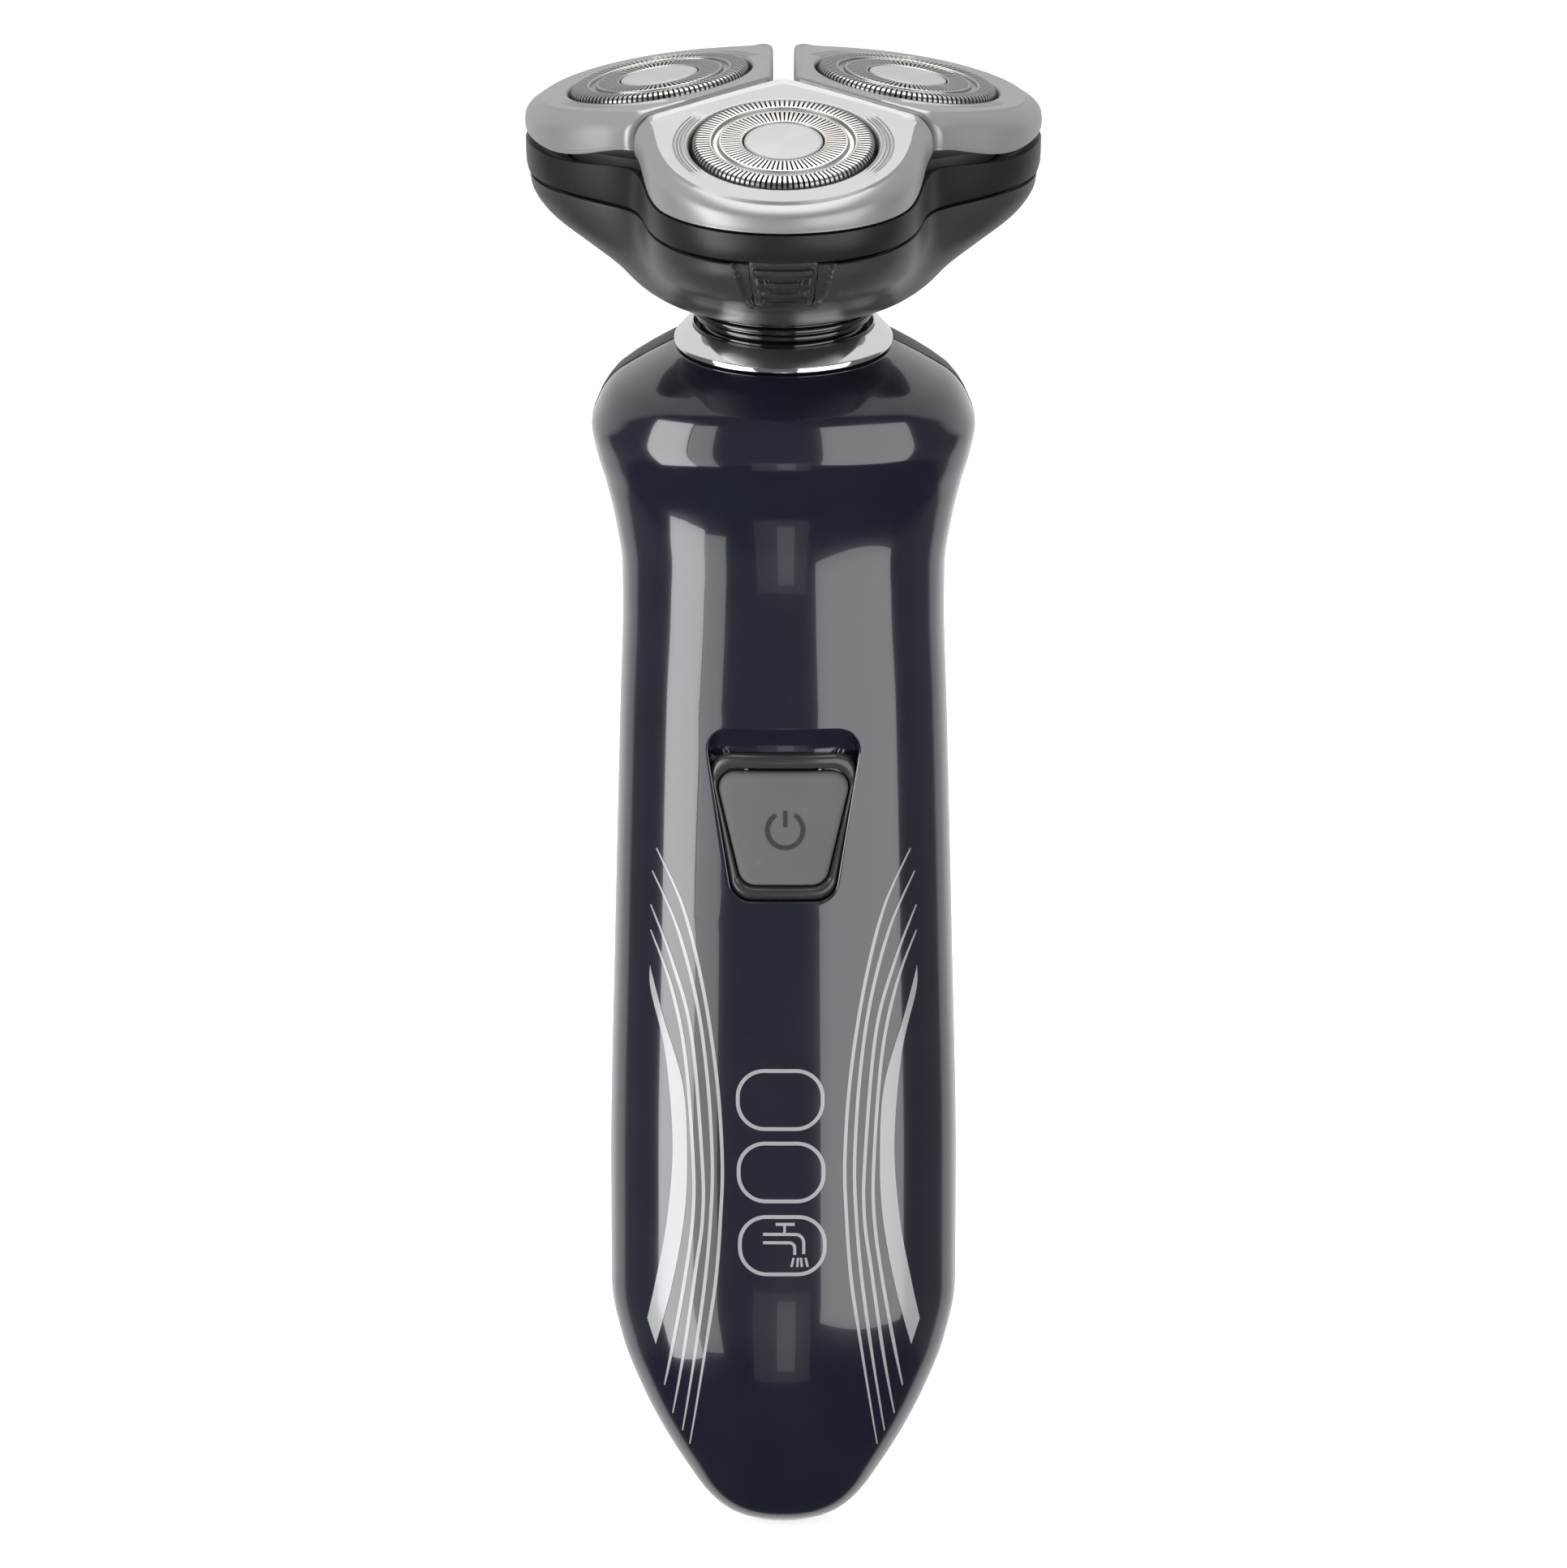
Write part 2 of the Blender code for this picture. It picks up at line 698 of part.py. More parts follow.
def build_neck():
    """Collar, tube, pivot pins, coupling and rings."""
    place(moved(neck_collar(), HEAD), "neck_collar", "chrome", HEAD)
    place(moved(collar_seal(), HEAD), "collar_seal", "black_rubber", HEAD)
    place(moved(neck_tube(), HEAD), "neck_tube", "black_satin", HEAD)
    tilt = HEAD @ shift(0.0, 0.0, PIVOT_HEIGHT)
    for number, side in enumerate((-1.0, 1.0), 1):
        ends = sorted((side * 3.9, side * 6.7))
        pin = moved(rod(0.8, ends[0], ends[1], 12, "X"), tilt)
        place(pin, f"neck_pin_{number}", "steel", tilt)
    coupling = turned(((2.4, -9.6), (2.4, 1.6), (1.5, 1.6), (1.5, 3.1)), 16)
    place(moved(coupling, HEAD), "motor_coupling", "white_plastic", HEAD,
          pivot("motor_axis", HEAD))
    for number, (foot, top, radius) in enumerate(NECK_RINGS, 1):
        ring = moved(neck_ring(foot, top, radius), HEAD)
        place(ring, f"neck_ring_{number}", "black_gloss", tilt,
              pivot(f"neck_ring_axis_{number}", tilt))


# ---------------------------------------------------------------- head shells

def trefoil(angle):
    """Radius of the head's outline at an angle from the front."""
    return 26.9 + 5.95 * math.cos(3.0 * angle) - 0.62 * math.cos(6.0 * angle)


def head_ring(height, half_width, share, slope, steps, rise=0.0):
    """Outline between a circle and the trefoil, sloped and rising between its lobes."""
    ring = []
    for index in range(steps):
        angle = 2.0 * math.pi * index / steps
        radius = half_width * (1.0 - share + share * trefoil(angle) / HEAD_HALF_WIDTH)
        x = radius * math.sin(angle)
        y = -radius * math.cos(angle)
        crest = rise * max(0.0, -math.cos(3.0 * angle)) ** 2
        ring.append((x, y, height + slope * y + crest))
    return ring


def base_form(offset, lift, steps):
    """The lower shell's outer form, grown by an offset and lifted."""
    rings = []
    for height, half_width, share in BASE_SECTIONS:
        rise = max(0.0, (height - 14.0) / (SEAM_HEIGHT - 14.0))
        rings.append(head_ring(height + lift, half_width + offset, share, SEAM_SLOPE * rise, steps))
    return rings


def knuckle(centre_x, half_length, arm_low, arm_high):
    """Hinge barrel with the arm that reaches back from a shell."""
    barrel = moved(rod(1.7, centre_x - half_length, centre_x + half_length, 16, "X"),
                   shift(0.0, HINGE_Y, HINGE_Z))
    arm = box((centre_x - half_length, 18.0, arm_low), (centre_x + half_length, HINGE_Y, arm_high))
    return join(barrel, arm)


def hinge_hole():
    """Hole for the hinge pin."""
    return moved(rod(1.1, -12.0, 12.0, 12, "X"), shift(0.0, HINGE_Y, HINGE_Z))


def release_outline(grow, rise=0.0):
    """Outline of the release button, grown all round and raised at its top."""
    return trapezoid(RELEASE_HALF_TOP + grow, RELEASE_HALF_FOOT + grow, RELEASE_FOOT - grow,
                     RELEASE_TOP + grow + rise, 1.0 + grow)


def head_base():
    """Lower shell: hair chamber, neck hub, gear posts and rear hinge ears."""
    shell = loft(base_form(0.0, 0.0, 42))
    for side in (-1.0, 1.0):
        join(shell, knuckle(side * 5.5, 1.3, 15.2, 17.4))
    join(shell, rod(HUB_RADIUS, 2.9, 7.2, 22))
    room = base_form(-SHELL, FLOOR, 28)
    room[-1] = [(x, y, z + 4.0) for x, y, z in room[-1]]
    cut(shell, loft(room))
    cut(shell, rod(HUB_BORE, 0.0, 12.0, 20))
    cut(shell, moved(rod(1.15, -10.0, 10.0, 8, "X"), shift(0.0, 0.0, PIVOT_HEIGHT)))
    for angle in POD_ANGLES:
        post = moved(rod(1.0, 9.3, 15.8, 8), turn(angle, "Z") @ shift(0.0, -SPINDLE_RADIUS, 0.0))
        join(shell, post)
    cut(shell, prism(release_outline(GAP, 3.0), -36.0, -21.0, "Y"))
    return cut(shell, hinge_hole())


def release_button():
    """Ribbed latch button in the front of the lower shell."""
    button = prism(release_outline(0.0), -36.0, -20.0, "Y")
    keep(button, loft(base_form(0.35, 0.0, 42)))
    return cut(button, loft(base_form(0.35 - RELEASE_DEPTH - 0.6, 0.6, 42)))


def head_rim():
    """Frame of the shaving unit with three pod bores, trunnion slots, catches and a knuckle."""
    steps = 42
    rings = [head_ring(SEAM_HEIGHT + GAP, 29.5, 1.0, SEAM_SLOPE, steps),
             head_ring(SEAM_HEIGHT + 1.2, 29.8, 1.0, SEAM_SLOPE, steps),
             head_ring(RIM_TOP, 29.8, 1.0, EDGE_SLOPE, steps, RIM_RISE)]
    frame = loft(rings)
    cut(frame, loft([head_ring(level, 28.0, 1.0, 0.0, 36) for level in (PLATE_TOP, 26.0)]))
    join(frame, knuckle(0.0, 3.8, 18.5, 20.1))
    room = [head_ring(level, 29.4 - SHELL, 1.0, 0.0, 36) for level in (15.0, PLATE_FOOT)]
    cut(frame, loft(room))
    for side in (-1.0, 1.0):
        low = min(side * 5.0, side * 6.6)
        join(frame, box((low, -27.0, 17.8), (low + 1.6, -26.1, 20.4)))
    for angle in POD_ANGLES:
        bore = rod(RIM_BORE, -16.0, -3.0, 24)
        for side in (-1.0, 1.0):
            low = min(side * 11.0, side * 13.8)
            join(bore, box((low, -1.15, -TILT_DEPTH - 1.15), (low + 2.8, 1.15, -4.0)))
        cut(frame, moved(bore, HEAD.inverted() @ pod_frame(angle)))
    return cut(frame, hinge_hole())


def hinge_pin():
    """Pin along X through the ears and the knuckle."""
    return moved(rod(0.8, -6.7, 6.7, 12, "X"), shift(0.0, HINGE_Y, HINGE_Z))


# ---------------------------------------------------------------- petals and caps

def petal_ring(share, inset):
    """One level of the front petal, from its foot to its sloped top plane."""
    side_gap = SEAM_GAP / 2.0 + (0.35 if share == 1.0 else 0.0)
    reach = trefoil(math.pi / 3.0) - inset
    limit = math.pi / 3.0 - math.asin(side_gap / reach)
    plan = [(0.0, -side_gap / math.sin(math.pi / 3.0))]
    arc_steps = 18
    seam_steps = 3
    start = (reach * math.sin(limit), -reach * math.cos(limit))
    for step in range(1, seam_steps):
        t = step / seam_steps
        plan.append((start[0] * t, plan[0][1] + (start[1] - plan[0][1]) * t))
    for step in range(arc_steps + 1):
        angle = limit * (1.0 - 2.0 * step / arc_steps)
        radius = trefoil(angle) - inset
        plan.append((radius * math.sin(angle), -radius * math.cos(angle)))
    mirrored = [(-x, y) for x, y in reversed(plan[1:seam_steps])]
    ring = []
    for x, y in plan + mirrored:
        angle = math.atan2(x, -y)
        crest = PETAL_RISE * max(0.0, -math.cos(3.0 * angle)) ** 2
        foot = PETAL_FOOT + EDGE_SLOPE * y + crest * min(1.0, math.hypot(x, y) / 17.0)
        top = POD_HEIGHT - PETAL_SINK / math.cos(POD_LEAN)
        top += math.tan(POD_LEAN) * (y + POD_RADIUS)
        ring.append((x, y, foot + share * (top - foot)))
    return ring


def petal():
    """Petal as a shell with a skirt and two trunnions, in the front pod's frame."""
    to_pod = (HEAD @ shift(0.0, -POD_RADIUS, POD_HEIGHT) @ turn(POD_LEAN, "X")).inverted() @ HEAD
    shell = moved(loft([petal_ring(share, inset) for share, inset in PETAL_SECTIONS]), to_pod)
    skirt = rod(SKIRT_RADIUS, -12.0, -5.0, 22)
    cut(skirt, moved(box((-20.0, -40.0, 10.0), (20.0, 20.0, SKIRT_FOOT)), to_pod))
    join(shell, skirt)
    cut(shell, rod(POD_BORE, -16.0, 3.0, 24))
    for side in (-1.0, 1.0):
        ends = sorted((side * 11.5, side * 13.4))
        stub = moved(rod(0.8, ends[0], ends[1], 8, "X"), shift(0.0, 0.0, -TILT_DEPTH))
        join(shell, stub)
    return shell


def foil_cap():
    """Steel cap with two raised tracks, the groove between them and the disc's seat."""
    profile = [(3.0, -0.75), (4.75, -0.75), (4.75, 0.0), (7.35, 0.0), (7.35, -0.5),
               (8.25, -0.5), (8.25, 0.0), (10.1, 0.0), (CAP_RADIUS, -0.35), (CAP_RADIUS, -4.6),
               (9.9, -4.6), (9.9, -1.1), (3.0, -1.1)]
    return turned_ring(profile, 22)


def cap_disc():
    """Light centre disc with the stem that clips it into the cap."""
    return turned(((2.65, -1.7), (2.65, -0.42), (DISC_RADIUS, -0.42), (DISC_RADIUS, 0.0),
                   (DISC_RADIUS - 0.35, 0.2), (1.5, 0.35)), 20)


def inner_cutter():
    """Crown of blades that spins under the two tracks."""
    carrier = turned_ring([(1.0, -4.2), (2.6, -4.2), (2.6, -3.4), (9.6, -3.4), (9.6, -2.7),
                           (2.0, -2.7), (1.0, -3.2)], 16)
    blades = 6
    for index in range(blades):
        place_at = turn(2.0 * math.pi * index / blades, "Z")
        for low, high in ((5.8, 6.8), (8.8, 9.55)):
            join(carrier, moved(box((low, -0.35, -3.0), (high, 0.35, -1.45)), place_at))
    return carrier


def cutter_retainer():
    """Spoked ring that holds the cutter in its cap."""
    piece = tube(10.3, 8.9, -6.1, -5.0, 16)
    for index in range(3):
        arm = box((4.0, -0.8, -6.0), (9.4, 0.8, -5.1))
        join(piece, moved(arm, turn(2.0 * math.pi * index / 3.0, "Z")))
    return join(piece, tube(4.6, 3.4, -6.1, -5.0, 10))


# ---------------------------------------------------------------- drive

def pitch_radius(teeth):
    """Pitch radius of one gear of the meshed pair."""
    return SPINDLE_RADIUS * teeth / (CENTRE_TEETH + DRIVE_TEETH)


def centre_gear():
    """Gear on the head's drive shaft."""
    piece = gear(CENTRE_TEETH, pitch_radius(CENTRE_TEETH), GEAR_FOOT, GEAR_TOP, -math.pi / 2.0)
    return join(piece, turned(((1.5, 3.6), (1.5, 12.0), (2.8, 12.0), (2.8, GEAR_FOOT + 0.4)), 16))


def drive_gear():
    """Gear with a hub that drives a spindle; its tooth gap faces the centre gear."""
    gap_phase = math.pi / 2.0 + math.pi / DRIVE_TEETH
    piece = gear(DRIVE_TEETH, pitch_radius(DRIVE_TEETH), GEAR_FOOT, GEAR_TOP, gap_phase)
    join(piece, rod(3.0, GEAR_FOOT + 0.5, 18.6, 14))
    return cut(piece, rod(1.5, GEAR_FOOT - 2.0, 20.0, 10))


def spindle():
    """Sprung shaft from a drive gear up to its cutter."""
    profile = ((1.15, 16.9), (1.15, 21.2), (2.4, 21.2), (2.4, 21.8), (1.15, 21.8), (1.15, 24.45),
               (0.9, 24.65))
    return turned(profile, 10)


def gear_cover():
    """Plate over the gears with a hole for each hub and clearance for the rim's catches."""
    plate = loft([head_ring(level, 25.8, 0.95, 0.0, 36) for level in (COVER_FOOT, COVER_TOP)])
    cut(plate, box((-8.4, -40.0, 10.0), (8.4, -25.7, 25.0)))
    for angle in POD_ANGLES:
        hole = moved(rod(3.5, 10.0, 25.0, 14), turn(angle, "Z") @ shift(0.0, -SPINDLE_RADIUS, 0.0))
        cut(plate, hole)
    return plate


def build_head_base():
    """Lower shell with the gear train and the release button."""
    tilt = HEAD @ shift(0.0, 0.0, PIVOT_HEIGHT)
    neck_axis = pivot("neck_tilt_axis", tilt)
    place(moved(head_base(), HEAD), "head_base", "charcoal", tilt, neck_axis)
    place(moved(gear_cover(), HEAD), "gear_cover", "black_satin", tilt, neck_axis)
    hinge = HEAD @ shift(0.0, HINGE_Y, HINGE_Z)
    place(moved(hinge_pin(), HEAD), "hinge_pin", "steel", hinge, neck_axis)
    latch = HEAD @ shift(0.0, -28.0, 16.0)
    place(moved(release_button(), HEAD), "release_button", "black_satin", latch, neck_axis)
    place(moved(centre_gear(), HEAD), "centre_gear", "white_plastic", HEAD, neck_axis)
    for number, angle in enumerate(POD_ANGLES, 1):
        axis = gear_frame(angle)
        place(moved(drive_gear(), axis), f"drive_gear_{number}", "white_plastic", axis, neck_axis)
        place(moved(spindle(), axis), f"drive_spindle_{number}", "steel", axis, neck_axis)
        coil = spring(1.85, 0.28, 18.95, 20.9, 2)
        place(moved(coil, axis), f"spindle_spring_{number}", "steel", axis, neck_axis)


def build_shaving_unit():
    """Rim, petals, foil caps, discs, cutters and retainers on the hinge axis."""
    hinge = HEAD @ shift(0.0, HINGE_Y, HINGE_Z)
    unit_axis = pivot("unit_hinge_axis", hinge)
    place(moved(head_rim(), HEAD), "head_rim", "black_satin", hinge, unit_axis)
    for number, angle in enumerate(POD_ANGLES, 1):
        pod = pod_frame(angle)
        tilt = pod @ shift(0.0, 0.0, -TILT_DEPTH)
        tilt_axis = pivot(f"petal_axis_{number}", tilt)
        place(moved(petal(), pod), f"petal_{number}", "silver_satin", tilt, tilt_axis)
        place(moved(foil_cap(), pod), f"foil_cap_{number}", "steel", pod, tilt_axis)
        place(moved(cap_disc(), pod), f"cap_disc_{number}", "white_satin", pod, tilt_axis)
        place(moved(inner_cutter(), pod), f"inner_cutter_{number}", "steel", pod, tilt_axis)
        place(moved(cutter_retainer(), pod), f"cutter_retainer_{number}", "white_plastic", pod,
              tilt_axis)


def build():
    """The whole shaver."""
    for old in list(bpy.data.objects):
        bpy.data.objects.remove(old)
    build_body()
    build_neck()
    build_head_base()
    build_shaving_unit()


build()
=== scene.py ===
"""Looks of a rotary electric shaver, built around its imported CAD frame.

Sizes are in millimetres and become metres when a mesh is made. The body's form, the head's
trefoil outline and the pods repeat the CAD's own formulas; the head and pod frames are read
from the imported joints. Each visible shell is a fine mesh that replaces its CAD node, and every
CAD node that stays gets a procedural material.
"""
import json
import math

import bmesh
import bpy
from mathutils import Matrix, Vector


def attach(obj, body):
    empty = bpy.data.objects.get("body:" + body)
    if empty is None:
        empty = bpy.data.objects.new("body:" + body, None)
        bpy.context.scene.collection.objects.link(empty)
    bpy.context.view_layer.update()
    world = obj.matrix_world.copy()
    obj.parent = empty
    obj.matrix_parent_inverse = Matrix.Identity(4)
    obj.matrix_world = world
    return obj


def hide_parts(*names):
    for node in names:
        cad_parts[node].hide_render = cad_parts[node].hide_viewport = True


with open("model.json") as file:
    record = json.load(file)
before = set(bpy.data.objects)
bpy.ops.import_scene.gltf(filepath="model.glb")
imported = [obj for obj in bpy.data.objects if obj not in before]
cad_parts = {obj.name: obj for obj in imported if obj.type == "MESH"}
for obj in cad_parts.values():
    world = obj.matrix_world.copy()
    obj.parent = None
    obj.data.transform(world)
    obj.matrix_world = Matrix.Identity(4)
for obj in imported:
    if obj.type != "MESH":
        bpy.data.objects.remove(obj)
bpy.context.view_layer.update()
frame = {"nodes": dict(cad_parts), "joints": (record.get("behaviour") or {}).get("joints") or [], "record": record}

MM = 0.001
WORLD = Matrix.Identity(4)
PI = math.pi

# Body: distance along it, half width, depth in front, depth behind
BODY_SECTIONS = (
    (0.0, 3.4, 3.0, 3.0),
    (0.9, 6.1, 5.4, 5.4),
    (3.0, 8.8, 7.8, 8.0),
    (6.5, 11.4, 9.8, 10.3),
    (11.5, 14.5, 12.2, 12.9),
    (16.5, 17.0, 13.9, 14.9),
    (22.0, 19.1, 15.2, 16.5),
    (28.5, 20.35, 16.0, 17.6),
    (43.5, 20.4, 16.5, 18.1),
    (68.5, 19.9, 16.2, 17.6),
    (98.5, 19.15, 15.85, 16.8),
    (109.0, 18.85, 16.15, 16.5),
    (114.0, 18.9, 16.35, 16.3),
    (119.0, 19.6, 16.7, 16.6),
    (124.0, 20.75, 17.4, 16.9),
    (128.0, 21.9, 18.7, 17.5),
    (131.0, 22.4, 19.3, 17.8),
    (134.0, 21.5, 18.8, 17.1),
    (136.4, 20.0, 17.9, 16.4),
    (138.6, 16.8, 15.7, 15.1),
    (140.65, 13.0, 13.0, 13.0),
)
BODY_TOP = BODY_SECTIONS[-1][0]
SECTION_POWER = 2.2
NECK_LEAN = math.radians(13.3)
BEND_START = 103.35
BEND_END = 140.95
BEND_RADIUS = (BEND_END - BEND_START) / NECK_LEAN
PARTING_Y = 0.8
TOE_HEIGHT = 5.0
GAP = 0.3
SHELL = 1.2
FRONT_EDGE = PARTING_Y - GAP / 2.0
REAR_EDGE = PARTING_Y + GAP / 2.0
REAR_FOOT = TOE_HEIGHT + GAP / 2.0
EDGE_TUCK = 0.35
EDGE_STEP = 0.004

# Front panel
BUTTON_TOP = 91.2
BUTTON_FOOT = 77.9
PAD_HALF_TOP = 8.1
PAD_HALF_FOOT = 4.85
OPENING_TOP = 96.3
OPENING_FOOT = 76.0
OPENING_HALF_TOP = 9.3
OPENING_HALF_FOOT = 5.95
BEZEL_TOP = 93.3
PAD_DEPTH = 0.45
RECESS_DEPTH = 1.9
COVE_DEPTH = 1.35
COVE_LENGTH = 2.9
SYMBOL_X = 0.19
SYMBOL_HEIGHT = 84.4
SYMBOL_LIFT = 0.08

# Neck, in the head frame: foot, top and outer radius of each ring
NECK_RINGS = ((1.3, 2.65, 9.6), (2.98, 3.7, 10.25), (4.02, 4.75, 11.0), (5.06, 5.8, 11.4))
RING_BORE = 7.6

# Head, in the head frame
NOMINAL_RADIUS = 30.0
POD_RADIUS = 16.7
POD_HEIGHT = 29.5
POD_LEAN = math.radians(10.0)
POD_ANGLES = (0.0, math.radians(120.0), math.radians(240.0))
SEAM_HEIGHT = 18.3
SEAM_SLOPE = -0.032
EDGE_SLOPE = -0.02
TILT_START = 14.0
BASE_SECTIONS = (
    (6.3, 13.4, 0.0),
    (6.8, 15.2, 0.03),
    (8.2, 17.8, 0.12),
    (10.0, 20.4, 0.32),
    (12.0, 24.0, 0.62),
    (14.2, 27.4, 0.86),
    (16.4, 29.1, 0.97),
    (SEAM_HEIGHT, 29.5, 1.0),
)
RIM_TOP = 22.35
RIM_RISE = 1.15
PLATE_FOOT = 19.4
PLATE_TOP = 21.4
PETAL_FOOT = 22.7
PETAL_RISE = 3.0
SKIRT_RADIUS = 11.9
SKIRT_FOOT = 20.0
POD_BORE = 10.8
RIM_BORE = 12.6
TILT_DEPTH = 8.6
HINGE_Y = 24.4
HINGE_Z = 18.4
SEAM_SIDE = 0.35
REAR_SEAM_SIDE = 1.2
PETAL_CORNER = 1.3
GROOVES_END = 12.8

NODES = frame["nodes"]
JOINTS = {joint["name"]: joint for joint in frame["joints"]}


# ---------------------------------------------------------------- frames

def shift(x, y, z):
    """Move by millimetres, as a matrix in metres."""
    return Matrix.Translation(Vector((x, y, z)) * MM)


def turn(angle, axis):
    """Turn about X, Y or Z."""
    return Matrix.Rotation(angle, 4, axis)


def axis_frame(joint):
    """Frame at a joint's point with +Z along its axis and X across the shaver."""
    up = Vector(joint["axis"]).normalized()
    across = Vector((1.0, 0.0, 0.0))
    deep = up.cross(across).normalized()
    matrix = Matrix((across, deep, up)).transposed().to_4x4()
    return Matrix.Translation(Vector(joint["pos_m"])) @ matrix


HEAD = axis_frame(JOINTS["centre_gear_spin"])
POD = shift(0.0, -POD_RADIUS, POD_HEIGHT) @ turn(POD_LEAN, "X")


def pod_frame(angle):
    """Frame at the top centre of a foil cap, by its angle from the front."""
    return HEAD @ turn(angle, "Z") @ POD


# ---------------------------------------------------------------- plane shapes

# longest share of a side that a bend takes, and a distance past any point
BEND_SHARE = 0.45
FAR = 1e9


def ramp(low, high, value):
    """Smooth step from 0 at low to 1 at high."""
    t = min(1.0, max(0.0, (value - low) / (high - low)))
    return t * t * (3.0 - 2.0 * t)


def spread(start, end, steps):
    """Evenly spaced values from start to end."""
    return [start + (end - start) * step / steps for step in range(steps + 1)]


def whole_turn(steps):
    """Angles of one turn."""
    return spread(0.0, 2.0 * PI, steps)[:-1]


def blend(start, end, t):
    """Point between two points, as a tuple."""
    return tuple(Vector(start).lerp(Vector(end), t))


def bend(start, corner, end, steps):
    """Smooth bend from start to end, along the two sides of a corner."""
    return [start * (1 - t) ** 2 + corner * (2 * t * (1 - t)) + end * t ** 2
            for t in spread(0.0, 1.0, steps)]


def soften(points, radius, steps=5, closed=True):
    """Polyline whose corners are replaced by short smooth bends."""
    result = []
    count = len(points)
    for index, point in enumerate(points):
        if not closed and index in (0, count - 1):
            result.append(tuple(point))
            continue
        here = Vector(point)
        before = Vector(points[index - 1]) - here
        after = Vector(points[(index + 1) % count]) - here
        start = here + before.normalized() * min(radius, BEND_SHARE * before.length)
        end = here + after.normalized() * min(radius, BEND_SHARE * after.length)
        result += [tuple(spot) for spot in bend(start, here, end, steps)]
    return result


def arc(centre, radius, start, end, steps):
    """Points on a circle arc, angles in degrees."""
    angles = spread(math.radians(start), math.radians(end), steps)
    return [(centre[0] + radius * math.cos(a), centre[1] + radius * math.sin(a)) for a in angles]


def spline(points, steps=10):
    """Smooth curve through points."""
    result = []
    last = len(points) - 1
    for index in range(last):
        p0 = Vector(points[max(index - 1, 0)])
        p1 = Vector(points[index])
        p2 = Vector(points[index + 1])
        p3 = Vector(points[min(index + 2, last)])
        for step in range(steps):
            t = step / steps
            result.append(tuple(0.5 * (2 * p1 + (p2 - p0) * t + (2 * p0 - 5 * p1 + 4 * p2 - p3) * t ** 2
                                       + (3 * p1 - p0 - 3 * p2 + p3) * t ** 3)))
    result.append(tuple(points[-1]))
    return result


def trapezoid(half_top, half_foot, foot, top):
    """Corners of an upright trapezoid, anticlockwise from the lower left."""
    return [(-half_foot, foot), (half_foot, foot), (half_top, top), (-half_top, top)]


def corner_circle(corners, index, radius):
    """Directions from a corner to its neighbours, half its angle and the centre of its arc."""
    here = Vector(corners[index])
    before = (Vector(corners[index - 1]) - here).normalized()
    after = (Vector(corners[(index + 1) % len(corners)]) - here).normalized()
    half = before.angle(after) / 2.0
    centre = here + (before + after).normalized() * (radius / math.sin(half))
    return before, after, half, centre


def rounded_arcs(corners, radius, steps=10):
    """Convex polygon with true arcs at its corners."""
    outline = []
    for index, corner in enumerate(corners):
        before, _, half, centre = corner_circle(corners, index, radius)
        start = Vector(corner) + before * (radius / math.tan(half)) - centre
        for angle in spread(0.0, PI - 2.0 * half, steps):
            outline.append((centre.x + start.x * math.cos(angle) - start.y * math.sin(angle),
                            centre.y + start.x * math.sin(angle) + start.y * math.cos(angle)))
    return outline


def dense(outline, step):
    """Closed outline with extra points along its long sides."""
    result = []
    for index, point in enumerate(outline):
        following = outline[(index + 1) % len(outline)]
        length = (Vector(following) - Vector(point)).length
        parts = max(1, round(length / step))
        result += [blend(point, following, part / parts) for part in range(parts)]
    return result


def inside(corners, radius, x, y):
    """Distance to a rounded convex polygon, negative inside it."""
    from_sides = -FAR
    from_arc = FAR
    for index, (ax, ay) in enumerate(corners):
        bx, by = corners[(index + 1) % len(corners)]
        run, climb = bx - ax, by - ay
        side = ((x - ax) * climb - (y - ay) * run) / math.hypot(run, climb)
        from_sides = max(from_sides, side)
        before, after, _, centre = corner_circle(corners, index, radius)
        local = Vector((x, y)) - centre
        if local.dot(before) < 0.0 and local.dot(after) < 0.0:
            from_arc = min(from_arc, local.length)
    return from_sides if from_arc == FAR else from_arc - radius


# ---------------------------------------------------------------- meshes

def make(name, points, faces, matrix=WORLD, sharp=35.0, closed=True):
    """Mesh object from points in millimetres, placed by a frame."""
    mesh = bpy.data.meshes.new(name)
    mesh.from_pydata([matrix @ (Vector(point) * MM) for point in points], [], faces)
    shape = bmesh.new()
    shape.from_mesh(mesh)
    bmesh.ops.remove_doubles(shape, verts=shape.verts, dist=1e-7)
    if closed:
        bmesh.ops.recalc_face_normals(shape, faces=shape.faces)
    shape.to_mesh(mesh)
    shape.free()
    mesh.shade_smooth()
    mesh.set_sharp_from_angle(angle=math.radians(sharp))
    obj = bpy.data.objects.new(name, mesh)
    bpy.context.scene.collection.objects.link(obj)
    return obj


def grid(rows, around=False, up=False, ends=False):
    """Points and faces of a grid; around closes each row, up joins the last row to the first."""
    count = len(rows[0])
    points = [point for row in rows for point in row]
    faces = []
    for level in range(len(rows) if up else len(rows) - 1):
        above = (level + 1) % len(rows)
        for index in range(count if around else count - 1):
            following = (index + 1) % count
            faces.append((level * count + index, level * count + following,
                          above * count + following, above * count + index))
    if ends:
        faces.append(tuple(reversed(range(count))))
        faces.append(tuple(range(len(points) - count, len(points))))
    return points, faces


def merged(parts):
    """Points and faces of several meshes as one."""
    points = []
    faces = []
    for part_points, part_faces in parts:
        start = len(points)
        points.extend(part_points)
        faces.extend(tuple(start + index for index in face) for face in part_faces)
    return points, faces


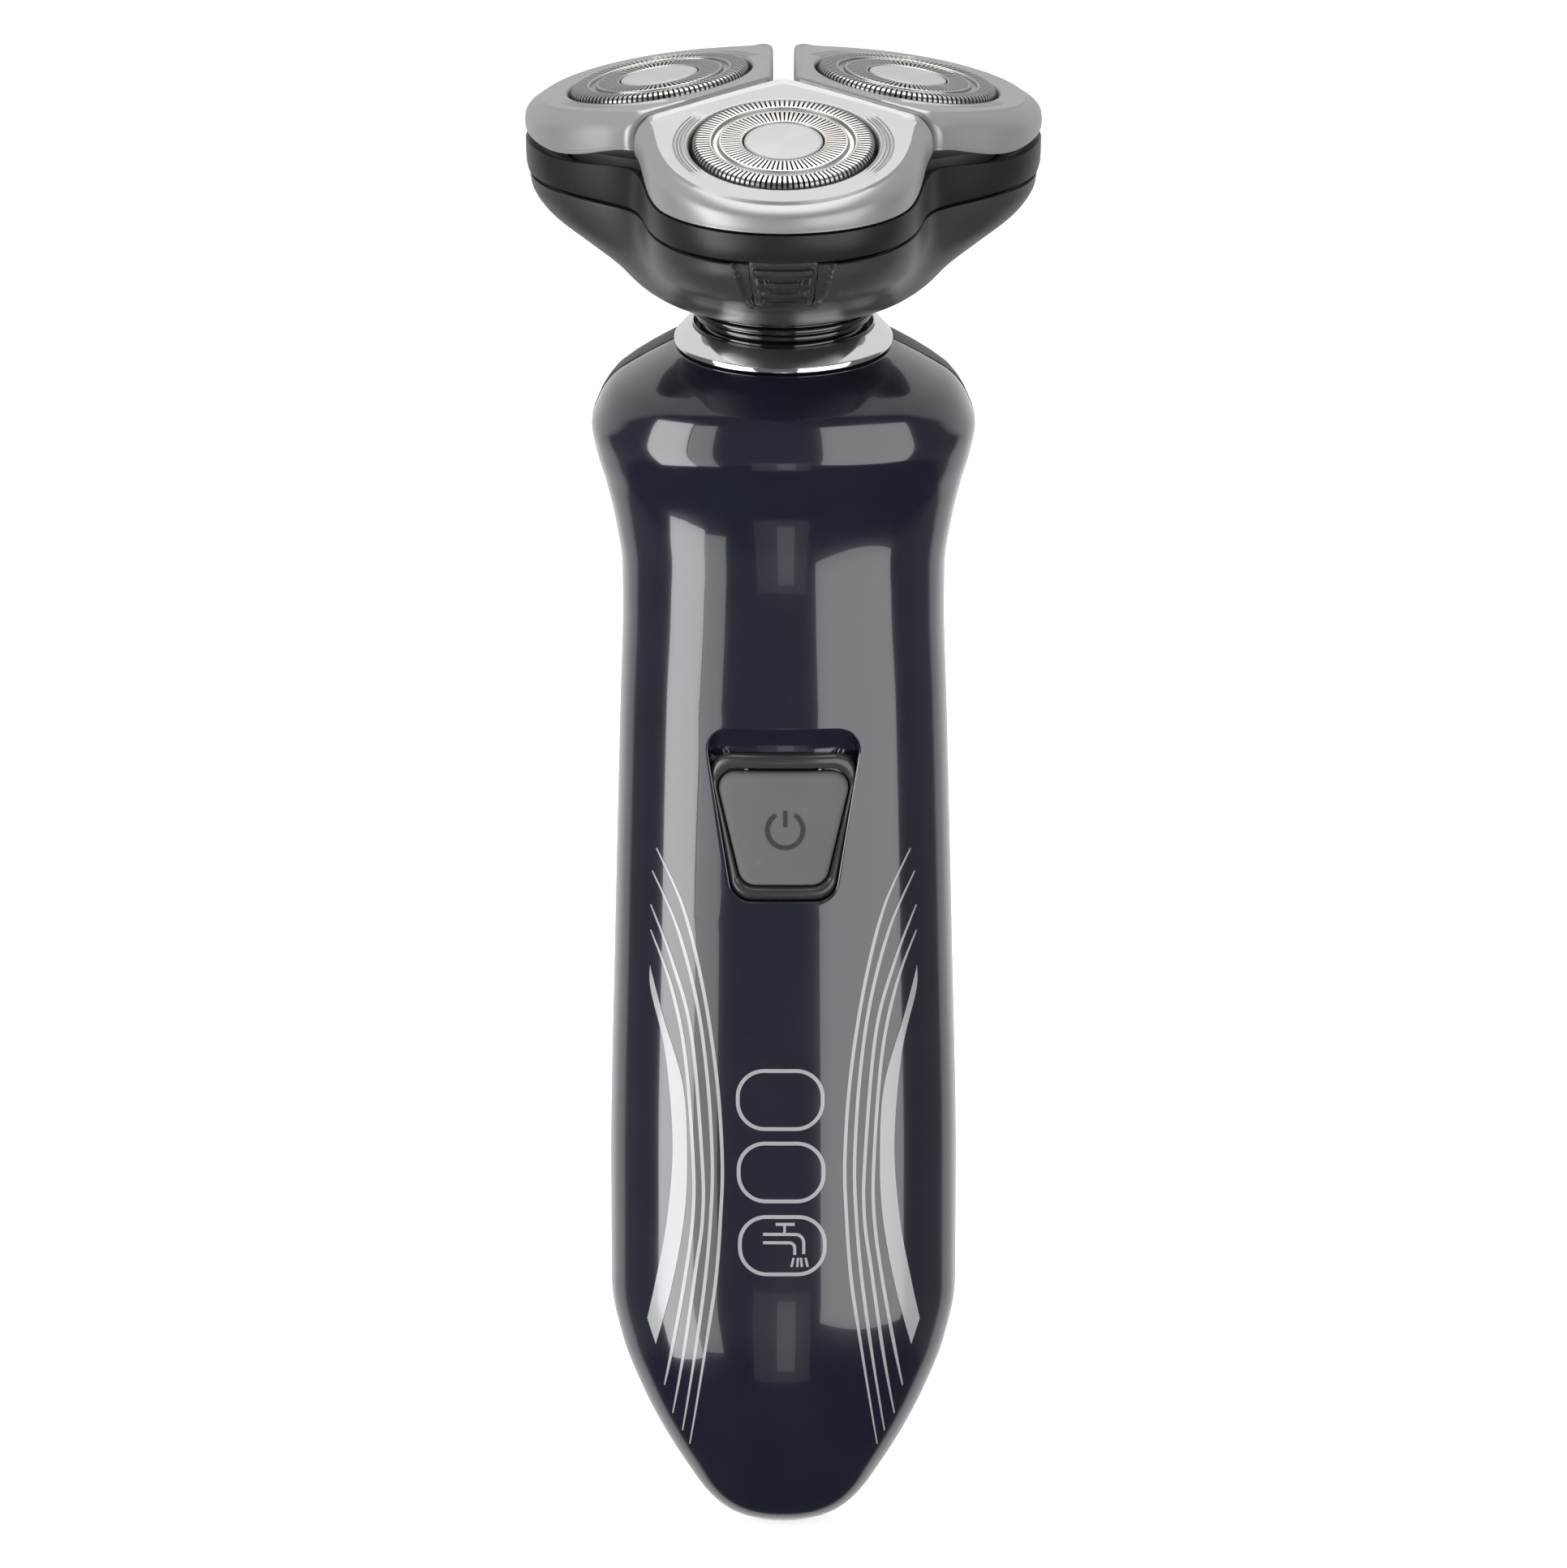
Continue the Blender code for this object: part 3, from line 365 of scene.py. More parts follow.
def lathe(profile, steps=128, start=0.0, sweep=2.0 * PI):
    """Closed profile of (radius, height) turned about Z, or swept through part of a turn."""
    whole = sweep >= 2.0 * PI
    rows = []
    for step in range(steps if whole else steps + 1):
        angle = start + sweep * step / steps
        rows.append([(radius * math.cos(angle), radius * math.sin(angle), height)
                     for radius, height in profile])
    return grid(rows, around=True, up=whole, ends=not whole)


def level_circle(radius, height, steps):
    """Points of a level circle round Z."""
    return [(radius * math.cos(2 * PI * k / steps), radius * math.sin(2 * PI * k / steps), height)
            for k in range(steps)]


def drum(radius, low, high, edge, steps=48, along_x=False):
    """Solid cylinder with softened rims, round Z or along X."""
    profile = soften([(0.0, low), (radius, low), (radius, high), (0.0, high)], edge, 4, False)
    rows = [level_circle(reach, height, steps) for reach, height in profile[1:-1]]
    points, faces = grid(rows, around=True, ends=True)
    if along_x:
        points = [(z, x, y) for x, y, z in points]
    return points, faces


def dress(obj, body, slot, *nodes, look=None):
    """Give a piece its body and a finish, its look's if one is given and else its slot's, and hide the CAD nodes
    that it stands for.
    """
    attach(obj, body)
    if nodes:
        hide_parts(*nodes)
    obj.data.materials.clear()
    obj.data.materials.append(finish(look or slot))


def thicken(obj, thickness):
    """Give an open skin its wall, inwards."""
    modifier = obj.modifiers.new("wall", "SOLIDIFY")
    modifier.thickness = thickness * MM
    modifier.offset = -1.0


def build(name, shape, body, slot, *nodes, matrix=WORLD, sharp=35.0, wall=0.0, look=None):
    """Make and dress a piece; a wall turns an open skin into a shell of that thickness."""
    obj = make(name, *shape, matrix=matrix, sharp=sharp, closed=not wall)
    if wall:
        thicken(obj, wall)
    dress(obj, body, slot, *nodes, look=look)


# ---------------------------------------------------------------- materials

def add_node(tree, kind, **values):
    """Shader node with values on its inputs; an underscore in a name stands for a space."""
    node = tree.nodes.new("ShaderNode" + kind)
    for name, value in values.items():
        node.inputs[name.replace("_", " ")].default_value = value
    return node


def tint(base, factor, added=0.0):
    """Colour scaled and raised, with full alpha."""
    return [min(1.0, channel * factor + added) for channel in base] + [1.0]


def node_material(name, base, roughness, metallic=0.0, cloud=0.06, cloud_size=9.0, grain=0.02,
                  grain_size=0.35, rough_spread=0.05, wear=0.08, coat=0.0, coat_roughness=0.03,
                  specular=0.5, transmission=0.0, emission=0.0):
    """Principled material: cloudy colour, rubbed edges, uneven roughness and a fine grain.

    cloud_size and grain_size are in millimetres; cloud, rough_spread and wear are shares.
    """
    material = bpy.data.materials.new(name)
    material.use_nodes = True
    tree = material.node_tree
    link = tree.links.new
    shader = tree.nodes["Principled BSDF"]
    uniform = {"Metallic": metallic, "Coat Weight": coat, "Coat Roughness": coat_roughness,
               "Specular IOR Level": specular, "Transmission Weight": transmission}
    if emission:
        uniform["Emission Color"] = (*base, 1.0)
        uniform["Emission Strength"] = emission
    for socket, value in uniform.items():
        shader.inputs[socket].default_value = value
    place = add_node(tree, "TexCoord")
    mapping = add_node(tree, "Mapping", Scale=(1.0 / MM, 1.0 / MM, 1.0 / MM))
    link(place.outputs["Object"], mapping.inputs["Vector"])

    def noise(size, detail):
        node = add_node(tree, "TexNoise", Scale=1.0 / size, Detail=detail)
        link(mapping.outputs["Vector"], node.inputs["Vector"])
        return node.outputs["Fac"]

    clouds = noise(cloud_size, 3.0)
    grains = noise(grain_size, 2.0)
    colours = add_node(tree, "ValToRGB")
    dark, pale = colours.color_ramp.elements
    dark.position = 0.3
    pale.position = 0.7
    dark.color = tint(base, 1.0 - cloud)
    pale.color = tint(base, 1.0 + cloud)
    link(clouds, colours.inputs["Fac"])

    geometry = add_node(tree, "NewGeometry")
    edges = add_node(tree, "MapRange", From_Min=0.53, From_Max=0.62, To_Max=wear)
    link(geometry.outputs["Pointiness"], edges.inputs["Value"])
    worn = add_node(tree, "Mix")
    worn.data_type = "RGBA"
    worn.inputs["B"].default_value = tint(base, 1.6, 0.04)
    link(edges.outputs["Result"], worn.inputs["Factor"])
    link(colours.outputs["Color"], worn.inputs["A"])
    link(worn.outputs["Result"], shader.inputs["Base Color"])

    uneven = add_node(tree, "MapRange", To_Min=max(0.0, roughness - rough_spread),
                      To_Max=roughness + rough_spread)
    link(clouds, uneven.inputs["Value"])
    link(uneven.outputs["Result"], shader.inputs["Roughness"])

    bump = add_node(tree, "Bump", Strength=1.0, Distance=grain * MM)
    link(grains, bump.inputs["Height"])
    link(bump.outputs["Normal"], shader.inputs["Normal"])
    return material


FINISHES = {
    "navy_gloss": dict(base=(0.0052, 0.0064, 0.0125), roughness=0.16, coat=1.0, coat_roughness=0.02,
                       cloud=0.1, grain=0.0003, grain_size=1.6, rough_spread=0.04, wear=0.03),
    "black_satin": dict(base=(0.014, 0.014, 0.016), roughness=0.42, grain=0.01, wear=0.12),
    "black_gloss": dict(base=(0.006, 0.006, 0.007), roughness=0.12, coat=1.0, cloud=0.15,
                        grain=0.001, rough_spread=0.04, wear=0.04),
    "black_rubber": dict(base=(0.012, 0.012, 0.013), roughness=0.75, grain=0.03, grain_size=0.25,
                         rough_spread=0.08, specular=0.3),
    "charcoal": dict(base=(0.020, 0.020, 0.0205), roughness=0.34, grain=0.006, grain_size=0.3,
                     cloud=0.08, rough_spread=0.06, wear=0.15),
    "silver_satin": dict(base=(0.27, 0.268, 0.265), roughness=0.36, metallic=0.55, grain=0.004,
                         grain_size=0.22, cloud=0.04, rough_spread=0.05, wear=0.2),
    "grey_soft": dict(base=(0.078, 0.081, 0.077), roughness=0.6, grain=0.01, grain_size=0.2,
                      cloud=0.04, specular=0.35),
    "chrome": dict(base=(0.86, 0.87, 0.88), roughness=0.07, metallic=1.0, grain=0.0006,
                   grain_size=2.0, cloud=0.02, rough_spread=0.03, wear=0.05),
    "steel": dict(base=(0.36, 0.348, 0.333), roughness=0.3, metallic=1.0, grain=0.003,
                  grain_size=0.16, cloud=0.07, rough_spread=0.08, wear=0.35),
    "white_satin": dict(base=(0.32, 0.325, 0.335), roughness=0.4, metallic=0.1, grain=0.003,
                        grain_size=0.3, cloud=0.03, wear=0.1),
    "white_plastic": dict(base=(0.7, 0.7, 0.66), roughness=0.45, grain=0.008, cloud=0.04),
    "cell_wrap": dict(base=(0.03, 0.1, 0.22), roughness=0.35, coat=0.4, grain=0.01, cloud=0.1),
    "board_green": dict(base=(0.01, 0.09, 0.035), roughness=0.35, coat=0.5, grain=0.02,
                        grain_size=0.8, cloud=0.2),
    "clear_guide": dict(base=(0.8, 0.84, 0.88), roughness=0.2, transmission=0.7, cloud=0.03),
    "brass": dict(base=(0.7, 0.52, 0.22), roughness=0.25, metallic=1.0, cloud=0.08, wear=0.2),
    "ink": dict(base=(0.27, 0.27, 0.28), roughness=0.34, metallic=0.25, grain=0.003,
                grain_size=0.15, cloud=0.03, rough_spread=0.05, coat=0.5, coat_roughness=0.1),
    "bezel": dict(base=(0.022, 0.022, 0.023), roughness=0.26, grain=0.003, grain_size=0.3,
                  cloud=0.08, wear=0.12, coat=0.4, coat_roughness=0.12),
    "rim": dict(base=(0.008, 0.008, 0.008), roughness=0.36, grain=0.008, grain_size=0.25,
                cloud=0.08, rough_spread=0.05, wear=0.1, specular=0.35),
    "symbol": dict(base=(0.016, 0.0165, 0.015), roughness=0.55, grain=0.004, cloud=0.05),
}
MADE = {}


def finish(name):
    """Material by its slot's name, made once."""
    if name not in MADE:
        MADE[name] = node_material(name, **FINISHES[name])
    return MADE[name]


# ---------------------------------------------------------------- body surface

def between_sections(sections, place, slope):
    """Sizes of a section table at a place, on cubics that keep each row's slope."""
    row = 0
    while row < len(sections) - 2 and place > sections[row + 1][0]:
        row += 1
    start, end = sections[row], sections[row + 1]
    span = end[0] - start[0]
    t = (place - start[0]) / span
    return [(2.0 * t ** 3 - 3.0 * t ** 2 + 1.0) * start[column]
            + (t ** 3 - 2.0 * t ** 2 + t) * span * slope(column, row)
            + (3.0 * t ** 2 - 2.0 * t ** 3) * end[column]
            + (t ** 3 - t ** 2) * span * slope(column, row + 1)
            for column in range(1, len(start))]


def slope_at(column, row):
    """Slope of one column of the body's sections, flattened at its turning points."""
    def secant(index):
        rise = BODY_SECTIONS[index + 1][column] - BODY_SECTIONS[index][column]
        return rise / (BODY_SECTIONS[index + 1][0] - BODY_SECTIONS[index][0])

    if row == 0:
        return secant(0)
    before = secant(row - 1)
    if row == len(BODY_SECTIONS) - 1:
        return before
    after = secant(row)
    if before * after <= 0.0:
        return 0.0
    return 2.0 * before * after / (before + after)


SIZE_CACHE = {}


def sizes_at(along):
    """Half width, front depth and back depth of the body at a distance along it."""
    key = round(along, 5)
    if key not in SIZE_CACHE:
        place = min(max(along, 0.0), BODY_TOP)
        SIZE_CACHE[key] = between_sections(BODY_SECTIONS, place, slope_at)
    return SIZE_CACHE[key]


def spine(along):
    """Centre and forward lean of the body at a distance along it."""
    if along <= BEND_START:
        return Vector((0.0, 0.0, along)), 0.0
    lean = (along - BEND_START) / BEND_RADIUS
    back = -BEND_RADIUS * (1.0 - math.cos(lean))
    up = BEND_START + BEND_RADIUS * math.sin(lean)
    return Vector((0.0, back, up)), lean


def on_spine(x, y, along):
    """World point of a section's own x and y."""
    centre, lean = spine(along)
    return (x, centre.y + y * math.cos(lean), centre.z + y * math.sin(lean))


def swell(value):
    """Sine or cosine bent from a circle to the section's fuller curve."""
    return math.copysign(abs(value) ** (2.0 / SECTION_POWER), value)


def body_point(along, angle, offset=0.0):
    """Point of the body's surface, grown by an offset; angle 0 is +X and 90 degrees the back."""
    half_width, front, back = [size + offset for size in sizes_at(along)]
    deep = swell(math.sin(angle))
    return on_spine(half_width * swell(math.cos(angle)), deep * (back if deep > 0.0 else front), along)


def skin_point(x, along, lift=0.0, rear=False):
    """Point over the body's front or back at a width x, raised by a lift."""
    half_width, front, back = [size + lift for size in sizes_at(along)]
    share = min(0.9999, abs(x) / half_width)
    deep = (1.0 - share ** SECTION_POWER) ** (1.0 / SECTION_POWER)
    return on_spine(x, back * deep if rear else -front * deep, along)


def parting_angle(along, y):
    """Angle at which a section's rear surface crosses a depth y near its widest point."""
    return math.asin((y / sizes_at(along)[2]) ** (SECTION_POWER / 2.0))


def stations(stretches):
    """Distances along the body from (start, end, step) stretches."""
    result = []
    for start, end, step in stretches:
        result.extend(spread(start, end, max(1, round((end - start) / step)))[:-1])
    result.append(stretches[-1][1])
    return result


def fan(steps, fine_share, fine_steps):
    """Angles of half a front, from its side to its middle, finer near the middle."""
    fine = [math.acos(share ** (SECTION_POWER / 2.0))
            for share in spread(fine_share, 0.0, fine_steps)]
    return spread(0.0, fine[0], steps)[:-1] + fine


def deck(row):
    """Row half way from the body's top edge to its middle."""
    return [blend(point, on_spine(0.0, 0.0, BODY_TOP), 0.5) for point in row]


OPENING = trapezoid(OPENING_HALF_TOP, OPENING_HALF_FOOT, OPENING_FOOT, OPENING_TOP)
OPENING_CORNER = 2.6
PATCH_FOOT = 73.5
PATCH_TOP = 98.5
PATCH_HALF = 10.6
# distance inwards from the opening's edge and share of the full depth there
OPENING_STEPS = ((-0.5, 0.0), (-0.22, 0.0), (-0.1, 0.012), (0.0, 0.06), (0.06, 0.16), (0.1, 0.4),
                 (0.14, 0.8), (0.2, 1.0), (0.35, 1.0), (0.6, 1.0), (0.9, 1.0), (1.3, 1.0),
                 (1.8, 1.0), (2.4, 1.0), (3.0, 1.0), (3.6, 1.0), (4.3, 1.0))


def opening_depth(along):
    """Full depth of the button's recess: a cove above the bezel and a well behind it."""
    way = min(1.0, max(0.08, (OPENING_TOP - along) / COVE_LENGTH))
    well = RECESS_DEPTH * ramp(BEZEL_TOP + 0.1, BEZEL_TOP - 0.25, along)
    return max(COVE_DEPTH * math.sin(0.5 * PI * way), well)


def opening_patch(border):
    """Skin of the front inside a border, sunk into the button's recess."""
    centre = Vector((0.0, 0.5 * (OPENING_FOOT + OPENING_TOP)))

    def crossing(point, edge):
        near, far = 0.0, 1.0
        for _ in range(24):
            middle = 0.5 * (near + far)
            x, along = centre.lerp(Vector(point), middle)
            if inside(OPENING, OPENING_CORNER, x, along) > edge:
                far = middle
            else:
                near = middle
        return centre.lerp(Vector(point), near)

    loops = [[skin_point(x, along) for x, along in border]]
    rims = [crossing(point, 0.5) for point in border]
    for share in (0.4, 0.75):
        loops.append([skin_point(*blend(point, rim, share)) for point, rim in zip(border, rims)])
    for inward, share in OPENING_STEPS:
        spots = [crossing(point, -inward) for point in border]
        loops.append([skin_point(x, along, -share * opening_depth(along)) for x, along in spots])
    return grid(loops, around=True)


def front_skin():
    """Front of the body from the toe to the top, with the button's recess."""
    half = fan(16, 0.55, 44)
    angles = [PI + angle for angle in half] + [2.0 * PI - angle for angle in half[-2::-1]]
    heights = stations(((0.0, 9.0, 0.6), (9.0, PATCH_FOOT, 1.6), (PATCH_FOOT, PATCH_TOP, 0.5),
                        (PATCH_TOP, 120.0, 1.2), (120.0, 134.0, 0.8), (134.0, BODY_TOP, 0.45)))
    rows = []
    for along in heights:
        tuck = EDGE_TUCK * ramp(TOE_HEIGHT - 0.4, TOE_HEIGHT + 0.4, along)
        left = PI - parting_angle(along, FRONT_EDGE)
        right = 2.0 * PI + parting_angle(along, FRONT_EDGE)
        row = [body_point(along, left, -tuck), body_point(along, left + EDGE_STEP, -0.3 * tuck)]
        row += [body_point(along, angle) for angle in angles]
        row += [body_point(along, right - EDGE_STEP, -0.3 * tuck), body_point(along, right, -tuck)]
        rows.append(row)
    points, faces = grid(rows + [deck(rows[-1])])
    count = len(rows[0])
    low = heights.index(PATCH_FOOT)
    high = heights.index(PATCH_TOP)
    first = min(i for i in range(count) if rows[low][i][0] > -PATCH_HALF)
    last = count - 1 - first
    faces = [face for face in faces
             if not (low <= face[0] // count < high and first <= face[0] % count < last)]
    border = [(rows[low][i][0], PATCH_FOOT) for i in range(first, last)]
    border += [(rows[level][last][0], heights[level]) for level in range(low, high)]
    border += [(rows[high][i][0], PATCH_TOP) for i in range(last, first, -1)]
    border += [(rows[level][first][0], heights[level]) for level in range(high, low, -1)]
    return merged([(points, faces), opening_patch(border)])


def toe_skin():
    """Rear side of the toe, its ledge under the rear housing and its flat foot."""
    top = TOE_HEIGHT - GAP / 2.0
    rows = []
    for along in stations(((0.0, top, 0.6),)):
        start = parting_angle(along, FRONT_EDGE)
        rows.append([body_point(along, angle) for angle in spread(start, PI - start, 60)])
    rows.append([body_point(top, angle, -1.4) for angle in spread(0.1, PI - 0.1, 60)])
    foot = [body_point(0.0, angle) for angle in whole_turn(72)]
    middle = [(x * 0.3, y * 0.3, z) for x, y, z in foot]
    points, faces = grid([middle, foot], around=True)
    faces.append(tuple(reversed(range(len(foot)))))
    return merged([grid(rows), (points, faces)])


def front_cover():
    """Navy front shell with the toe."""
    build("front_cover_shell", merged([front_skin(), toe_skin()]), "grip", "navy_gloss",
          "front_cover", wall=SHELL)


GRIP_HALF = 10.5
GRIP_FOOT = 34.0
GRIP_TOP = 101.0
GRIP_CORNER = 6.0
GRIP_PAD = trapezoid(GRIP_HALF, GRIP_HALF, GRIP_FOOT, GRIP_TOP)
GRIP_POCKET = trapezoid(GRIP_HALF + GAP, GRIP_HALF + GAP, GRIP_FOOT - GAP, GRIP_TOP + GAP)
POCKET_DEPTH = 0.9
RIB_PITCH = 3.4
RIB_SLANT = 0.55
RIB_HEIGHT = 0.32
PAD_LIFT = 0.2
INLET = shift(0.0, 11.6, 9.6) @ turn(-math.radians(118.0), "X")
INLET_END = 15.0


def inlet_depth(point):
    """Depth of the inlet's mouth below the rear skin."""
    local = INLET.inverted() @ (Vector(point) * MM) / MM
    across = math.hypot(max(0.0, abs(local.x) - 2.0), local.y)
    return 2.2 * ramp(3.25, 2.95, across)


def rear_sink(along, angle):
    """Depth of the rear skin under the body's surface: lower edge, inlet's mouth or grip's pocket."""
    if along == REAR_FOOT:
        return 0.3
    if along < INLET_END:
        return inlet_depth(body_point(along, angle))
    x = sizes_at(along)[0] * swell(math.cos(angle))
    if abs(x) > 12.0:
        return 0.0
    edge = inside(GRIP_POCKET, GRIP_CORNER + GAP, x, along)
    return POCKET_DEPTH * ramp(0.1, -0.25, edge)


def rear_housing():
    """Black rear shell with the grip's pocket and the inlet's mouth."""
    heights = stations(((REAR_FOOT, 14.5, 0.25), (14.5, 32.0, 1.4), (32.0, 41.0, 0.35),
                        (41.0, 94.0, 2.0), (94.0, 102.5, 0.35), (102.5, BODY_TOP, 1.0)))
    rows = []
    for along in heights:
        start = parting_angle(along, REAR_EDGE)
        half = [angle for angle in fan(14, 0.62, 44) if angle > start + 0.02]
        half = ([start + EDGE_STEP] + spread(start + 0.02, half[0], max(1, 59 - len(half)))
                + half[1:])
        row = [body_point(along, start, -EDGE_TUCK)]
        row += [body_point(along, angle, -rear_sink(along, angle))
                for angle in half + [PI - angle for angle in half[-2::-1]]]
        row.append(body_point(along, PI - start, -EDGE_TUCK))
        rows.append(row)
    build("rear_housing_shell", grid(rows + [deck(rows[-1])]), "grip", "black_satin",
          "rear_housing", wall=SHELL)


def rear_grip():
    """Rubber pad with raised chevron ribs."""
    outline = dense(rounded_arcs(GRIP_PAD, GRIP_CORNER, 10), 0.7)
    centre = Vector((0.0, 0.5 * (GRIP_FOOT + GRIP_TOP)))

    def level(share, lift, ribbed=False):
        row = []
        for point in outline:
            x, z = centre.lerp(Vector(point), share)
            edge = inside(GRIP_PAD, GRIP_CORNER, x, z)
            wave = math.sin(2.0 * PI * (z + RIB_SLANT * abs(x)) / RIB_PITCH)
            rib = RIB_HEIGHT * ramp(-0.2, 0.5, wave) * ramp(-1.0, -1.8, edge)
            row.append(skin_point(x, z, lift + (rib if ribbed else 0.0), rear=True))
        return row

    rows = [level(share, lift)
            for share, lift in ((1.0, -0.7), (1.0, -0.1), (0.992, 0.14), (0.98, PAD_LIFT))]
    rows += [level(share, PAD_LIFT, True) for share in spread(0.97, 0.02, 90)]
    points, faces = grid(rows, around=True)
    faces.append(tuple(range(len(points) - len(outline), len(points))))
    build("rear_grip_pad", (points, faces), "grip", "black_rubber", "rear_grip", wall=0.5)


def frame_outline(half_top, half_foot, foot, top, radius):
    """Rounded trapezoid with evenly divided sides."""
    bend_steps = 10
    corners = rounded_arcs(trapezoid(half_top, half_foot, foot, top), radius, bend_steps)
    result = []
    for index, point in enumerate(corners):
        result.append(point)
        if index % (bend_steps + 1) == bend_steps:
            following = corners[(index + 1) % len(corners)]
            result += [blend(point, following, t) for t in spread(0.0, 1.0, 14)[1:-1]]
    return result


def button_bezel():
    """Gloss frame with a rolled edge round the button."""
    outer = frame_outline(9.08, 5.86, OPENING_FOOT + 0.14, BEZEL_TOP, 2.5)
    inner = frame_outline(PAD_HALF_TOP + 0.14, PAD_HALF_FOOT + 0.14, BUTTON_FOOT - 0.16,
                          BUTTON_TOP + 0.3, 2.2)
    profile = ((0.0, -2.2), (0.0, -1.0), (0.08, -0.72), (0.28, -0.45), (0.5, -0.36), (0.72, -0.45),
               (0.92, -0.75), (1.0, -1.05), (1.0, -2.2))
    rows = [[skin_point(*blend(a, b, share), lift) for a, b in zip(outer, inner)]
            for share, lift in profile]
    build("button_bezel_ring", grid(rows, around=True, up=True), "grip", "charcoal",
          "button_bezel", look="bezel")


def power_button():
    """Soft grey pad with a rolled edge and the sunken power symbol."""
    outline = frame_outline(PAD_HALF_TOP, PAD_HALF_FOOT, BUTTON_FOOT, BUTTON_TOP, 2.0)
    centre = (0.0, 0.5 * (BUTTON_TOP + BUTTON_FOOT))
    levels = [(1.0, -2.0), (1.0, -1.0), (0.99, -0.75), (0.965, -0.56), (0.93, -0.48)]
    levels += [(share, -PAD_DEPTH) for share in spread(0.9, 0.04, 16)]
    rows = [[skin_point(*blend(centre, point, share), lift) for point in outline]
            for share, lift in levels]
    build("power_button_pad", grid(rows, around=True, ends=True), "power_button", "grey_soft",
          "power_button")
    lift = SYMBOL_LIFT - PAD_DEPTH
    ring = arc((SYMBOL_X, SYMBOL_HEIGHT), 2.07, 122.0, 418.0, 60)
    bar = [(SYMBOL_X, height) for height in spread(SYMBOL_HEIGHT + 2.25, SYMBOL_HEIGHT + 0.35, 8)]
    parts = [ribbon(ring, 0.5, lift, 0.16), ribbon(bar, 0.46, lift, 0.16)]
    build("power_symbol", merged(parts), "power_button", "grey_soft", look="symbol")


# ---------------------------------------------------------------- printed graphics

def strip_row(side_points, lift, depth):
    """Cross-section of a thin solid strip that lies on the front of the body."""
    return ([skin_point(x, along, lift) for x, along in side_points]
            + [skin_point(x, along, lift - depth) for x, along in reversed(side_points)])


def ribbon(path, width, lift, depth, closed=False):
    """Thin solid strip along a path of (x, along) points; width is a size or a function."""
    count = len(path)
    rows = []
    for index, (x, along) in enumerate(path):
        before = path[index - 1] if index or closed else path[index]
        after = path[(index + 1) % count] if index < count - 1 or closed else path[index]
        run = Vector((after[0] - before[0], after[1] - before[1])).normalized()
        half = (width(index / (count - 1)) if callable(width) else width) / 2.0
        rows.append(strip_row([(x - run.y * half * s, along + run.x * half * s)
                               for s in spread(-1.0, 1.0, 3)], lift, depth))
    return grid(rows, around=True, up=closed, ends=not closed)


INK_LIFT = 0.035
INK_DEPTH = 0.12


def ink_piece(name, parts):
    """Printed piece on the front cover."""
    build(name, merged(parts), "grip", "silver_satin", look="ink")


# points of each thin line from its top end to its foot, as (x, along)
THIN_LINES = (
    ((-14.8, 81.7), (-11.7, 75.1), (-9.4, 65.9), (-7.8, 55.4), (-7.15, 45.7), (-7.35, 38.8),
     (-7.9, 31.4), (-8.9, 24.4), (-11.05, 10.2)),
    ((-15.3, 79.0), (-12.4, 72.7), (-10.15, 64.3), (-8.9, 55.4), (-8.3, 45.6), (-8.5, 38.7),
     (-9.15, 31.3), (-10.3, 22.6), (-11.9, 11.9)),
    ((-15.5, 75.0), (-13.0, 68.7), (-10.75, 60.3), (-9.5, 45.6), (-9.45, 38.6), (-10.3, 32.1),
     (-11.65, 22.4), (-13.05, 14.0)),
    ((-15.5, 72.0), (-13.2, 66.0), (-11.5, 57.9), (-10.55, 45.5), (-10.6, 38.5), (-11.6, 30.8),
     (-13.1, 22.3), (-14.0, 17.6)),
)
# the broad stripe: points of its outer and inner edges as (x, along)
BROAD_OUTER = ((-15.6, 67.8), (-15.5, 64.9), (-13.8, 57.7), (-12.95, 47.2), (-13.6, 38.2),
               (-14.9, 31.0), (-16.0, 25.8))
BROAD_INNER = ((-15.6, 67.8), (-14.1, 62.2), (-11.7, 54.0), (-11.25, 45.4), (-11.6, 38.5),
               (-13.0, 30.5), (-15.0, 22.7))


def line_width(t):
    """A thin line's width along it, fading at its ends."""
    return 0.14 + 0.26 * min(1.0, 6.0 * t, 6.0 * (1.0 - t))


def broad_stripe(side):
    """Tapered stripe between two edge curves."""
    outer = spline(BROAD_OUTER, 14)
    inner = spline(BROAD_INNER, 12)
    rows = []
    for share in spread(0.0, 1.0, 70):
        a = Vector(outer[round(share * (len(outer) - 1))])
        b = Vector(inner[round(share * (len(inner) - 1))])
        b = b if (a - b).length > 0.05 else a + Vector((0.05, 0.0))
        spots = [a.lerp(b, s) for s in spread(0.0, 1.0, 5)]
        rows.append(strip_row([(side * x, along) for x, along in spots], INK_LIFT, INK_DEPTH))
    return grid(rows, around=True, ends=True)


def stripes():
    """Four thin lines and a broad stripe on each side."""
    for side, word in ((1.0, "left"), (-1.0, "right")):
        for number, points in enumerate(THIN_LINES, 1):
            path = spline([(side * x, along) for x, along in points], 12)
            ink_piece(f"stripe_{word}_{number}", [ribbon(path, line_width, INK_LIFT, INK_DEPTH)])
        ink_piece(f"stripe_{word}_broad", [broad_stripe(side)])


WINDOW_CENTRES = ((-0.38, 52.8), (-0.28, 44.25), (-0.14, 35.55))
WINDOW_HALF = (4.95, 3.42)


